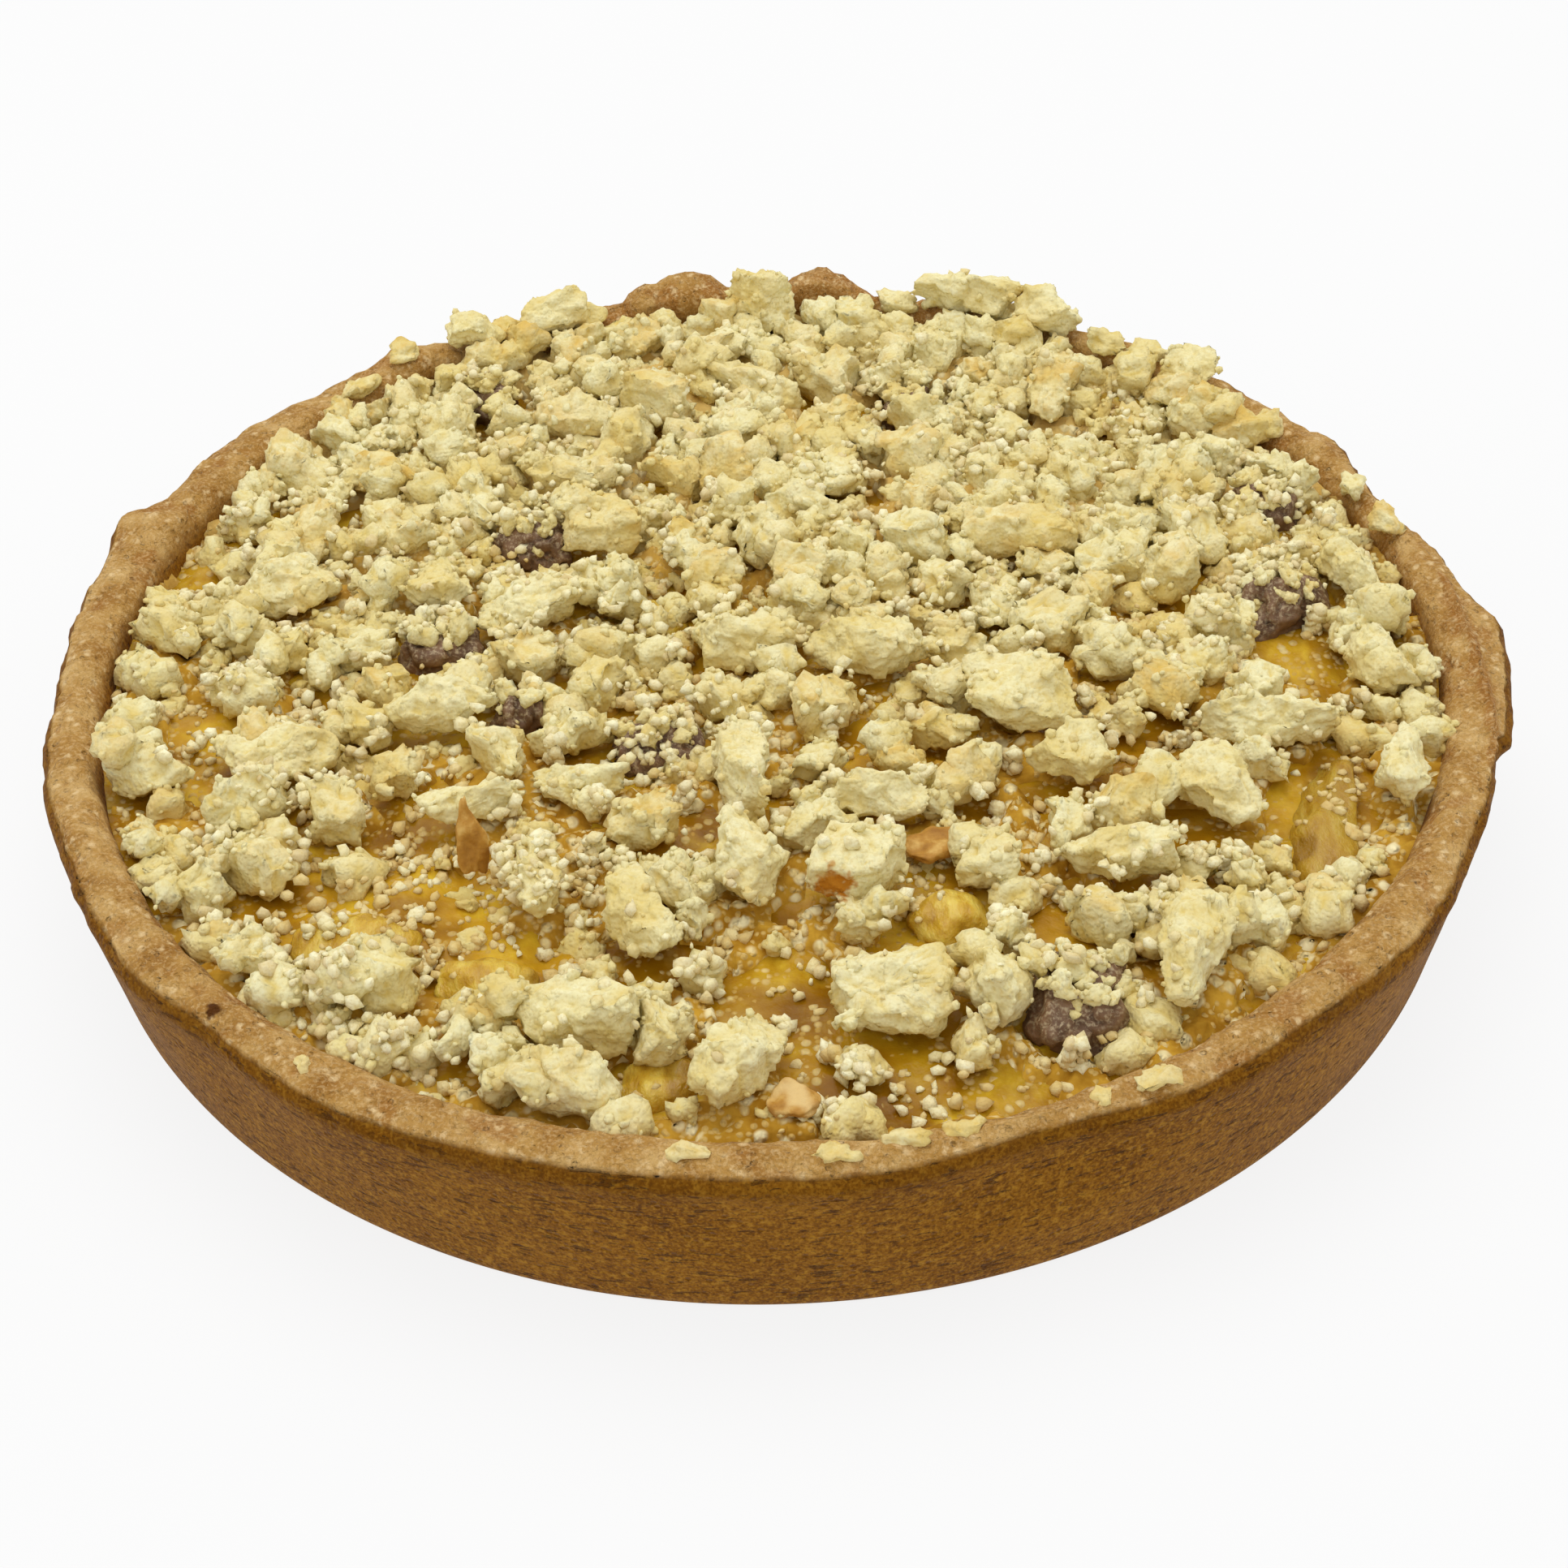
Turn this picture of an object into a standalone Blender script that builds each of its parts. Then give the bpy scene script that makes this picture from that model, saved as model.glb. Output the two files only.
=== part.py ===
"""Apple crumble pie: a shortcrust case, an apple filling with raisins, and a heap of crumble on it.

The model is worked out in millimetres and built in metres, +Z up. Its origin is the middle of the
underside. The photograph's camera looks along +Y, so -Y is the front of the pie.
"""
import math
import random

import bmesh
import bpy
from mathutils import Matrix, Vector, noise
from mathutils.bvhtree import BVHTree

MM = 0.001

# Driving sizes of the pastry case
RIM_RADIUS = 90.0
BASE_RADIUS = 87.0
RIM_HEIGHT = 24.0
RIM_WIDTH = 6.0
FLOOR_THICKNESS = 5.0
FOOT_ROUNDING = 0.6
CASE_STEPS = 80

# Driving sizes of the filling and of the crumble core that covers it
FILLING_LEVEL = 19.3
FILLING_SWELL = 1.3
FILLING_WAVE = 36.0
CORE_THICKNESS = 1.3
GAP = 0.3
WALL_GAP = 0.4
TOP_STEPS = 36
TOP_RINGS = (20.0, 40.0, 58.0, 72.0)

# Bulges of the rim: azimuth and half width in degrees, then outward and upward in millimetres
RIM_BULGES = (
    (-140, 6, 1.4, 0.2),
    (-114, 13, 0.9, 0.0),
    (-72, 9, -1.3, -0.3),
    (-40, 10, 1.3, 0.2),
    (18, 7, -1.6, 0.0),
    (27, 3, 0.8, 0.9),
    (52, 8, -0.6, 0.6),
    (69, 4, 0.6, 1.6),
    (84, 4, 0.4, 4.4),
    (97, 4, 0.4, 4.0),
    (127, 5, 0.3, 2.6),
    (138, 7, 1.1, 0.2),
    (149, 9, 1.6, 0.3),
    (161, 3, 2.6, 1.2),
    (165, 5, 1.3, 0.0),
)

# The flap of dough folded over the rim on the right: where it starts and ends, and how far it stands out
FLAP_FROM = -14.0
FLAP_TO = 5.0
FLAP_OUT = 3.0
FLAP_SOFT_END = 6.0
FLAP_UNDERSIDE = 19.0

# Lumps of crumble as large as a berry: x, y, length, width, height, turn in degrees
LUMPS = {
    "square_slab": (9.5, -44.0, 10.5, 8.0, 6.0, -2),
    "dish_slab": (12.0, -64.0, 12.5, 9.5, 6.5, -2),
    "wedge_slab": (30.5, -14.0, 13.0, 10.0, 6.0, -3),
    "wedge_neighbour": (35.5, -25.5, 9.5, 6.5, 5.5, -7),
    "ridge_far": (-3.5, -28.0, 14.0, 6.0, 7.5, -84),
    "ridge_near": (-2.5, -43.0, 12.0, 7.5, 7.0, -80),
    "pale_slab": (-30.5, 8.0, 14.0, 9.5, 6.5, -3),
    "pale_slab_neighbour": (-43.0, 12.5, 9.0, 7.0, 5.5, -3),
    "flat_disc": (-59.5, -20.0, 15.0, 10.0, 4.5, -3),
    "arch": (-62.0, 13.5, 13.0, 7.5, 6.5, 1),
    "hollow_box": (-22.5, 26.0, 11.0, 8.0, 6.5, -3),
    "middle_block": (-3.0, -1.0, 13.0, 7.5, 6.5, -14),
    "middle_bar": (13.0, -3.0, 15.0, 8.0, 6.5, -11),
    "left_bar": (-40.0, -14.0, 14.0, 6.5, 6.0, 1),
    "left_strip": (-35.0, -31.0, 13.0, 5.0, 4.5, 7),
    "upright_bar": (-26.5, -44.5, 12.0, 5.5, 5.5, -85),
    "slanted_bar": (-14.5, -51.5, 12.0, 6.5, 6.0, -65),
    "front_knob": (-21.0, -65.5, 12.0, 8.5, 6.5, -30),
    "front_browned": (-20.5, -76.0, 9.0, 6.5, 6.5, -2),
    "front_diagonal": (-4.5, -74.0, 13.0, 6.5, 7.0, 58),
    "centre_strip": (11.5, -31.5, 13.0, 5.5, 5.5, -6),
    "front_right_knob": (23.5, -63.5, 9.0, 7.5, 6.5, -31),
    "tall_right": (45.5, -61.0, 15.0, 7.0, 7.5, 73),
    "right_knob": (51.0, -33.0, 12.0, 7.0, 6.5, -49),
    "right_bar": (60.0, -20.5, 16.0, 7.0, 6.0, -7),
    "right_strip": (39.0, -43.5, 12.0, 6.5, 6.0, 8),
    "wall_bar": (73.5, -29.5, 13.0, 5.5, 6.0, -102),
    "wall_knob": (75.5, -9.5, 10.0, 6.0, 6.0, -60),
    "golden_bar": (33.5, 21.5, 15.0, 7.0, 5.5, -6),
    "back_right_knob": (75.0, 11.5, 11.0, 6.0, 6.0, -80),
    "back_golden": (42.0, 56.0, 14.0, 6.5, 6.5, 74),
    "back_left_golden": (-27.5, 55.0, 12.0, 7.0, 5.5, 7),
    "back_pile": (31.0, 79.5, 17.0, 7.0, 6.0, -16),
    "back_crest": (-0.6, 82.5, 9.5, 7.0, 6.5, -3),
    "rim_right": (42.5, 74.0, 9.5, 6.5, 6.0, -30),
    "rim_white": (61.5, 56.5, 9.0, 7.0, 6.0, -45),
    "rim_golden": (-43.0, 73.5, 9.0, 6.5, 5.5, 28),
    "rim_left": (-30.0, 77.5, 11.0, 6.5, 6.0, 20),
}
SQUARE_LUMPS = ("square_slab", "dish_slab", "wedge_slab", "hollow_box", "golden_bar")
DISHED_LUMPS = {"dish_slab": 0.4, "hollow_box": 0.45, "arch": 0.3, "pale_slab": 0.2}
LUMP_SHARES = (1.0, 0.94, 0.88, 0.82, 0.76, 0.7)
LUMP_LIFT = 6.0
FLAKE_LIFT = 6.0
LIFT_STEP = 0.2

# Raisins that show between the crumbs: x, y, length, width, height, turn in degrees
RAISINS = {
    "raisin_front": (32.5, -64.5, 13.0, 10.5, 9.0, 80),
    "raisin_centre": (-13.5, -18.5, 10.0, 8.0, 7.0, 15),
    "raisin_left": (-42.0, 2.5, 10.0, 7.5, 7.0, 10),
    "raisin_left_small": (-30.5, -11.0, 7.5, 5.5, 6.0, 30),
    "raisin_back_left": (-41.5, 64.0, 11.0, 8.0, 7.5, -12),
    "raisin_by_box": (-31.5, 26.0, 10.0, 7.0, 7.5, -25),
    "raisin_right": (66.0, 6.5, 12.0, 8.5, 8.5, 25),
    "raisin_far_right": (67.5, 28.5, 9.5, 7.5, 7.5, -20),
    "raisin_back": (21.5, 58.0, 8.5, 6.5, 6.5, 20),
}
RAISIN_RISE = 0.12
FRUIT_GAP = 0.35

# Pieces of apple that show in the filling: x, y, length, width, height, turn in degrees
APPLES = {
    "apple_slice_right": (64.5, -34.0, 22.0, 8.0, 6.0, 74),
    "apple_slice_left": (-46.5, -51.0, 14.0, 10.0, 6.0, -20),
    "apple_wedge_left": (-32.0, -57.0, 11.0, 6.0, 5.0, -8),
    "apple_cube": (19.5, -49.0, 9.0, 8.5, 6.5, 20),
    "apple_middle": (-14.5, 9.0, 9.0, 6.5, 5.5, -35),
    "apple_front": (-12.5, -72.5, 8.5, 6.5, 5.5, 5),
    "apple_back": (53.0, 58.0, 9.5, 7.0, 5.5, -30),
}
APPLE_RISE = -0.08

# Toasted flakes: x, y, length, width, thickness, turn and lean in degrees
FLAKES = {
    "flake_upright": (-34.0, -40.0, 3.4, 1.3, 9.0, 15, -22),
    "flake_triangle": (18.5, -38.5, 7.0, 4.5, 1.4, 25, 0),
    "flake_front": (1.5, -77.5, 4.5, 4.5, 1.5, -30, 0),
}

# Openings in the crumble where the filling shows: x, y, half length, half width, turn in degrees
WINDOWS = (
    (-41.0, -51.0, 15.0, 8.0, -12),
    (0.5, -61.5, 9.0, 9.0, 15),
    (14.0, -74.0, 13.0, 4.5, -3),
    (66.0, -5.0, 6.0, 5.5, 0),
    (-75.0, 20.0, 5.0, 5.0, 30),
    (-69.5, -13.0, 6.0, 7.5, 20),
    (-15.5, -13.0, 9.0, 4.5, 15),
    (46.0, -22.0, 6.0, 5.0, 30),
    (-48.5, -38.5, 8.0, 5.5, 10),
)
WINDOW_SIDES = 7
RAISIN_ROOM = 1.7
APPLE_ROOM = 1.8

# Crumbs that stand out in the photograph, fused on the core: x, y, length, width, height, turn
PLACED_CRUMBS = (
    (-7.0, 13.5, 8.0, 7.0, 6.0, 4),
    (20.0, -17.0, 8.0, 5.0, 4.5, -20),
    (24.0, -2.0, 7.5, 4.6, 4.5, -23),
    (-52.0, 1.0, 8.0, 5.0, 5.0, -15),
    (-23.0, -27.0, 10.5, 5.5, 5.0, -3),
    (24.5, -42.0, 7.5, 6.0, 5.5, -8),
    (58.0, -57.0, 8.0, 4.4, 5.0, 7),
    (31.0, -46.5, 13.0, 5.0, 6.0, -60),
    (43.0, -6.0, 9.5, 4.0, 4.5, -8),
    (54.0, -6.0, 9.5, 6.0, 5.0, -13),
    (70.0, 32.0, 11.5, 6.0, 6.0, -63),
    (58.0, 53.0, 13.0, 6.0, 6.0, -57),
    (-64.5, -44.0, 7.0, 6.0, 6.5, -19),
    (-73.0, -34.0, 8.8, 4.2, 5.5, -17),
    (-59.0, -39.0, 9.0, 6.0, 6.0, -29),
    (-56.0, -55.0, 7.0, 5.3, 6.0, -35),
    (-78.0, 7.0, 8.5, 6.3, 6.0, -15),
    (-75.0, -4.0, 9.2, 5.6, 5.5, -13),
    (-52.5, 41.5, 11.0, 7.0, 6.0, -25),
    (-18.5, 76.5, 9.0, 6.0, 6.0, 13),
    (-12.5, 40.5, 9.4, 5.6, 6.0, -16),
    (4.7, 31.5, 10.0, 5.5, 5.5, -14),
    (19.0, 63.0, 9.7, 5.9, 5.5, 10),
    (-63.0, 43.0, 10.0, 6.8, 6.0, 9),
    (-40.0, 35.0, 17.0, 6.0, 6.0, -71),
    (-3.0, 64.0, 13.0, 5.3, 5.5, -35),
    (47.5, 21.5, 10.0, 5.9, 6.0, 8),
    (-31.0, -66.0, 7.0, 4.3, 5.0, -12),
    (-32.5, -75.0, 8.5, 5.0, 6.0, -10),
    (53.5, 34.0, 9.0, 6.7, 6.0, 24),
    (-4.0, 51.0, 8.5, 5.8, 6.0, 47),
    (-49.0, 26.5, 10.4, 6.5, 6.0, -14),
)

# Crumbs that fill the places between: how many are tried, their sizes and how deep all of them sit
CRUMB_TRIES = 270
CRUMB_SIZES = (6.2, 11.0)
CRUMB_SPACING = 0.82
CRUMB_SHARES = (1.0, 0.72)
CRUMB_SINK = 0.85
CRUMB_REACH = 79.5
CRUMB_SEED = 41
GOLDEN_ANGLE = math.radians(137.50776)

# Colours read from the photograph as sRGB, then roughness
FINISHES = {
    "shortcrust": ((196, 142, 84), 0.75),
    "jelly": ((190, 132, 40), 0.25),
    "crumble": ((224, 212, 164), 0.85),
    "raisin": ((84, 58, 48), 0.55),
    "apple": ((206, 160, 48), 0.35),
    "toasted": ((198, 132, 62), 0.7),
}


def clear_scene():
    for thing in list(bpy.data.objects):
        bpy.data.objects.remove(thing, do_unlink=True)


def new_collection(name):
    collection = bpy.data.collections.new(name)
    bpy.context.scene.collection.children.link(collection)
    return collection


def linear(channel):
    value = channel / 255
    return value / 12.92 if value <= 0.04045 else ((value + 0.055) / 1.055) ** 2.4


def finish(name):
    """The Principled material of one kind of food, made once and then shared."""
    material = bpy.data.materials.get(name)
    if material is None:
        colour, roughness = FINISHES[name]
        material = bpy.data.materials.new(name)
        material.use_nodes = True
        shader = material.node_tree.nodes["Principled BSDF"]
        shader.inputs["Base Color"].default_value = (*map(linear, colour), 1.0)
        shader.inputs["Roughness"].default_value = roughness
        shader.inputs["Metallic"].default_value = 0.0
    return material


def add_object(name, mesh, collection, finish_name=None):
    piece = bpy.data.objects.new(name, mesh)
    collection.objects.link(piece)
    if finish_name:
        mesh.materials.clear()
        mesh.materials.append(finish(finish_name))
    return piece


def frozen(piece, name, collection, finish_name=None):
    """A copy of a piece with its modifiers applied, in place of the piece."""
    graph = bpy.context.evaluated_depsgraph_get()
    mesh = bpy.data.meshes.new_from_object(piece.evaluated_get(graph))
    mesh.name = name
    bpy.data.objects.remove(piece, do_unlink=True)
    return add_object(name, mesh, collection, finish_name)


def turned(name, profile, steps, collection, finish_name=None):
    """A closed turned body from a profile of (radius, height) pairs in millimetres."""
    mesh = bpy.data.meshes.new(name + "_profile")
    points = [(radius * MM, 0.0, height * MM) for radius, height in profile]
    mesh.from_pydata(points, [(i, i + 1) for i in range(len(points) - 1)], [])
    piece = bpy.data.objects.new(name + "_profile", mesh)
    collection.objects.link(piece)
    screw = piece.modifiers.new("turn", "SCREW")
    screw.steps = steps
    screw.render_steps = steps
    screw.use_merge_vertices = True
    screw.merge_threshold = 0.00001
    return frozen(piece, name, collection, finish_name)


def smooth(value, low, high):
    t = min(max((value - low) / (high - low), 0.0), 1.0)
    return t * t * (3 - 2 * t)


def angle_between(a, b):
    return (a - b + 180) % 360 - 180


def rim_shift(azimuth):
    """How far the rim stands outward and upward at an azimuth in degrees."""
    outward = 0.25 * math.sin(math.radians(azimuth * 11)) + 0.2 * math.sin(math.radians(azimuth * 17 + 40))
    upward = 0.2 * math.sin(math.radians(azimuth * 7 + 70)) + 0.15 * math.sin(math.radians(azimuth * 13))
    for centre, half_width, out, up in RIM_BULGES:
        share = math.exp(-((angle_between(azimuth, centre) / half_width) ** 2))
        outward += out * share
        upward += up * share
    return outward, upward


def flap_shift(azimuth):
    """How far the folded flap stands out: it starts softly and ends in a step."""
    past_start = smooth(azimuth, FLAP_FROM - 0.8, FLAP_FROM + 0.8)
    before_end = 1 - smooth(azimuth, FLAP_TO - FLAP_SOFT_END, FLAP_TO)
    return FLAP_OUT * past_start * before_end


def make_crust(collection):
    """The case: a turned shortcrust cup, with the rim's crags, hollows and folded flap moved into it."""
    inner = RIM_RADIUS - RIM_WIDTH
    profile = [
        (0.0, FLOOR_THICKNESS),
        (78.0, FLOOR_THICKNESS),
        (inner - 2.9, FLOOR_THICKNESS + 1.5),
        (inner - 0.7, 19.6),
        (inner - 0.2, 22.4),
        (inner + 1.2, RIM_HEIGHT - 0.3),
        (inner + 3.2, RIM_HEIGHT),
        (RIM_RADIUS - 1.1, RIM_HEIGHT - 0.6),
        (RIM_RADIUS, RIM_HEIGHT - 2.2),
        (RIM_RADIUS - 0.7, 17.6),
        (BASE_RADIUS + 1.3, 9.0),
        (BASE_RADIUS, FOOT_ROUNDING * 1.2),
        (BASE_RADIUS - FOOT_ROUNDING, 0.0),
        (0.0, 0.0),
    ]
    crust = turned("crust", profile, CASE_STEPS, collection, "shortcrust")
    middle = (inner + RIM_RADIUS) / 2
    for vertex in crust.data.vertices:
        x, y, z = vertex.co / MM
        radius = math.hypot(x, y)
        if radius < inner - 1.0:
            continue
        azimuth = math.degrees(math.atan2(y, x))
        outward, upward = rim_shift(azimuth)
        raised = smooth(z, 19.6, RIM_HEIGHT - 0.8)
        outer_side = smooth(radius, middle - 1.5, middle + 1.5)
        push = outward * smooth(z, 6.0, RIM_HEIGHT - 3.0) * outer_side
        push += flap_shift(azimuth) * smooth(z, FLAP_UNDERSIDE, FLAP_UNDERSIDE + 2.0) * outer_side
        scale = (radius + push) / radius
        vertex.co = Vector((x * scale, y * scale, z + upward * raised)) * MM
    return crust


def filling_swell(x, y):
    """Height of the apple filling's surface, a gently swelling sheet."""
    return FILLING_LEVEL + FILLING_SWELL * noise.noise(Vector((x / FILLING_WAVE, y / FILLING_WAVE, 3.7)))


def level_at(tree, x, y):
    """Height of a surface at a place, read by looking straight down on it."""
    return tree.ray_cast(Vector((x, y, 60.0)), Vector((0, 0, -1)))[0].z


def wall_radius(z):
    """Inner radius of the case at a height, below the rim."""
    inner = RIM_RADIUS - RIM_WIDTH
    return inner - 2.9 + 2.2 * (z - FLOOR_THICKNESS - 1.5) / (19.6 - FLOOR_THICKNESS - 1.5)


def make_filling(collection):
    """The filling: it fills the case from the floor to its swelling surface."""
    edge = wall_radius(FILLING_LEVEL) - WALL_GAP
    low = FLOOR_THICKNESS + GAP
    profile = [(0.0, FILLING_LEVEL)] + [(radius, FILLING_LEVEL) for radius in TOP_RINGS]
    profile += [(edge, FILLING_LEVEL), (wall_radius(low + 2) - WALL_GAP, low + 2)]
    profile += [(77.0, low), (0.0, low)]
    filling = turned("apple_filling", profile, TOP_STEPS, collection, "jelly")
    for vertex in filling.data.vertices:
        x, y, z = vertex.co / MM
        if z > FILLING_LEVEL - 1:
            vertex.co.z = filling_swell(x, y) * MM
    return filling


def random_direction(rng):
    height = rng.uniform(-1, 1)
    turn = rng.uniform(0, 2 * math.pi)
    flat = math.sqrt(1 - height * height)
    return Vector((flat * math.cos(turn), flat * math.sin(turn), height))


def broken_piece(rng, size, detail, squareness=3.0, chips=6, rough=0.22, dish=0.0):
    """Points and faces of one broken piece of food about its own middle, in millimetres.

    It is a rounded block whose corners are broken off along flat planes. A dish hollows its top.
    """
    planes = [(random_direction(rng), rng.uniform(0.78, 1.05)) for _ in range(chips)]
    offset = Vector([rng.uniform(-40, 40) for _ in range(3)])
    ball = bmesh.new()
    bmesh.ops.create_icosphere(ball, subdivisions=detail, radius=1.0)
    points = []
    for vertex in ball.verts:
        way = vertex.co.normalized()
        reach = sum(abs(part) ** squareness for part in way) ** (-1 / squareness)
        for normal, limit in planes:
            reach = min(reach, limit / max(way.dot(normal), 0.01))
        reach *= 1 + rough * noise.noise(way * 1.6 + offset)
        reach *= 1 - dish * smooth(way.z, 0.55, 0.95)
        points.append(Vector([way[i] * reach * size[i] / 2 for i in range(3)]))
    faces = [[vertex.index for vertex in face.verts] for face in ball.faces]
    ball.free()
    return points, faces


def placed(points, x, y, z, turn, lean=0.0):
    matrix = Matrix.Translation((x, y, z)) @ Matrix.Rotation(math.radians(turn), 4, "Z")
    matrix = matrix @ Matrix.Rotation(math.radians(lean), 4, "X")
    return [matrix @ point for point in points]


def swollen(points, amount):
    """The same points moved out from their middle by an amount."""
    middle = sum(points, Vector()) / len(points)
    return [point + (point - middle).normalized() * amount for point in points]


def mesh_of(name, points, faces):
    mesh = bpy.data.meshes.new(name)
    mesh.from_pydata([point * MM for point in points], [], faces)
    return mesh


def search_tree(points, faces):
    return BVHTree.FromPolygons(points, faces)


def object_tree(piece):
    """Search tree of a whole object, in millimetres."""
    points = [vertex.co / MM for vertex in piece.data.vertices]
    return BVHTree.FromPolygons(points, [list(face.vertices) for face in piece.data.polygons])


def cut_out(piece, cutters, finish_name, collection):
    """Takes every object of a collection out of a piece and applies the cut."""
    boolean = piece.modifiers.new("cut", "BOOLEAN")
    boolean.operation = "DIFFERENCE"
    boolean.operand_type = "COLLECTION"
    boolean.collection = cutters
    return frozen(piece, piece.name, collection, finish_name)


def sunk_pieces(table, kind, rise, filling_tree, collection, **form):
    """Raisins or apple pieces set in the filling: only what stands above its surface is modelled."""
    trees = []
    for number, (name, (x, y, length, width, height, turn)) in enumerate(table.items()):
        rng = random.Random(f"{kind} {number}")
        points, faces = broken_piece(rng, (length, width, height), 2, **form)
        points = placed(points, x, y, level_at(filling_tree, x, y) + rise * height, turn)
        for point in points:
            point.z = max(point.z, level_at(filling_tree, point.x, point.y) + FRUIT_GAP)
        add_object(name, mesh_of(name, points, faces), collection, kind)
        trees.append(search_tree(points, faces))
    return trees


def make_core(collection):
    """The bare core of the crumble heap: an even sheet over the filling."""
    edge = wall_radius(FILLING_LEVEL) - WALL_GAP
    top = FILLING_LEVEL + GAP + CORE_THICKNESS
    bottom = FILLING_LEVEL + GAP
    rings = list(TOP_RINGS) + [edge]
    profile = [(0.0, top)] + [(radius, top) for radius in rings]
    profile += [(radius, bottom) for radius in reversed(rings)] + [(0.0, bottom)]
    core = turned("crumble", profile, TOP_STEPS, collection, "crumble")
    for vertex in core.data.vertices:
        x, y, z = vertex.co / MM
        vertex.co.z = (z - FILLING_LEVEL + filling_swell(x, y)) * MM
    return core


def oval_outline(rng, x, y, half_length, half_width, turn):
    """Uneven oval outline of one opening in the crumble."""
    corners = []
    for step in range(WINDOW_SIDES):
        angle = 2 * math.pi * step / WINDOW_SIDES
        reach = rng.uniform(1.02, 1.12)
        corner = Vector((half_length * math.cos(angle), half_width * math.sin(angle), 0))
        corners.append(corner * reach)
    return [point.xy for point in placed(corners, x, y, 0, turn)]


def openings():
    """The bare places in the crumble, and a hole round each raisin and piece of apple."""
    places = list(WINDOWS)
    for table, room in ((RAISINS, RAISIN_ROOM), (APPLES, APPLE_ROOM)):
        for x, y, length, width, height, turn in table.values():
            places.append((x, y, length / 2 + room, width / 2 + room, turn))
    return places


def add_window_cutters(cutters):
    """Upright cutters for the openings."""
    for number, opening in enumerate(openings()):
        outline = oval_outline(random.Random(f"window {number}"), *opening)
        heights = (FILLING_LEVEL - 4, FILLING_LEVEL + 7)
        points = [Vector((x, y, z)) for z in heights for x, y in outline]
        sides = WINDOW_SIDES
        faces = [list(reversed(range(sides))), list(range(sides, 2 * sides))]
        faces += [[i, (i + 1) % sides, sides + (i + 1) % sides, sides + i] for i in range(sides)]
        cutter = add_object(f"window_{number}", mesh_of(f"window_{number}", points, faces), cutters)
        cutter.hide_render = True
        cutter.display_type = "WIRE"


def in_window(x, y, margin):
    for centre_x, centre_y, half_length, half_width, turn in openings():
        away = Matrix.Rotation(-math.radians(turn), 2) @ Vector((x - centre_x, y - centre_y))
        if (away.x / (half_length + margin)) ** 2 + (away.y / (half_width + margin)) ** 2 < 1:
            return True
    return False


def touches(points, faces, trees):
    """True where the piece, swollen by a little more than the gap, meets any of the trees."""
    tree = search_tree(swollen(points, 1.2 * GAP), faces)
    return any(tree.overlap(other) for other in trees)


def settle(points, faces, trees, most_lift):
    """Lifts a piece in small steps until it clears everything under and beside it."""
    for step in range(int(most_lift / LIFT_STEP) + 1):
        lifted = [point + Vector((0, 0, LIFT_STEP * step)) for point in points]
        if not touches(lifted, faces, trees):
            return lifted
    return None


def make_lumps(collection, trees):
    """The large lumps, each settled on the core. A lump that meets a neighbour is made smaller."""
    settled = []
    for number, (name, (x, y, length, width, height, turn)) in enumerate(LUMPS.items()):
        squareness = 6.0 if name in SQUARE_LUMPS else 3.0
        dish = DISHED_LUMPS.get(name, 0.0)
        for share in LUMP_SHARES:
            rng = random.Random(f"lump {number}")
            size = (length * share, width * share, height * share)
            local, faces = broken_piece(rng, size, 2, squareness, dish=dish)
            low = min(point.z for point in local)
            rest = filling_swell(x, y) + GAP + CORE_THICKNESS - low
            points = settle(placed(local, x, y, rest - 0.4, turn), faces, trees + settled, LUMP_LIFT)
            if points:
                break
        if not points:
            continue
        add_object("lump_" + name, mesh_of(name, points, faces), collection, "crumble")
        settled.append(search_tree(points, faces))
    return settled


def make_flakes(collection, filling_tree, trees):
    """Thin toasted flakes that stick out of the crumble or lie on it."""
    settled = []
    for number, (name, (x, y, length, width, height, turn, lean)) in enumerate(FLAKES.items()):
        rng = random.Random(f"flake {number}")
        local, faces = broken_piece(rng, (length, width, height), 2, 4.0, chips=3, rough=0.15)
        rest = level_at(filling_tree, x, y) + GAP + CORE_THICKNESS - min(point.z for point in local)
        points = settle(placed(local, x, y, rest, turn, lean), faces, trees + settled, FLAKE_LIFT)
        if not points:
            continue
        add_object("toasted_" + name, mesh_of(name, points, faces), collection, "toasted")
        settled.append(search_tree(points, faces))
    return settled


def crumb_draws():
    """Every crumb that is tried, the ones from the photograph first.

    The others are on a sunflower layout with uneven places and sizes, the largest first.
    """
    for number, (x, y, length, width, height, turn) in enumerate(PLACED_CRUMBS):
        yield f"placed {number}", x, y, (length, width, height), turn
    yield from sorted(filling_crumbs(), key=lambda draw: -draw[3][0])


def filling_crumbs():
    rng = random.Random(CRUMB_SEED)
    for number in range(CRUMB_TRIES):
        radius = CRUMB_REACH * math.sqrt((number + 0.5) / CRUMB_TRIES) + rng.uniform(-1.5, 1.5)
        angle = number * GOLDEN_ANGLE + rng.uniform(-0.02, 0.02)
        least, most = CRUMB_SIZES
        length = least + (most - least) * rng.random() ** 1.6
        size = (length, length * rng.uniform(0.62, 0.95), length * rng.uniform(0.55, 0.85))
        yield number, radius * math.cos(angle), radius * math.sin(angle), size, rng.uniform(0, 360)


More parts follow.
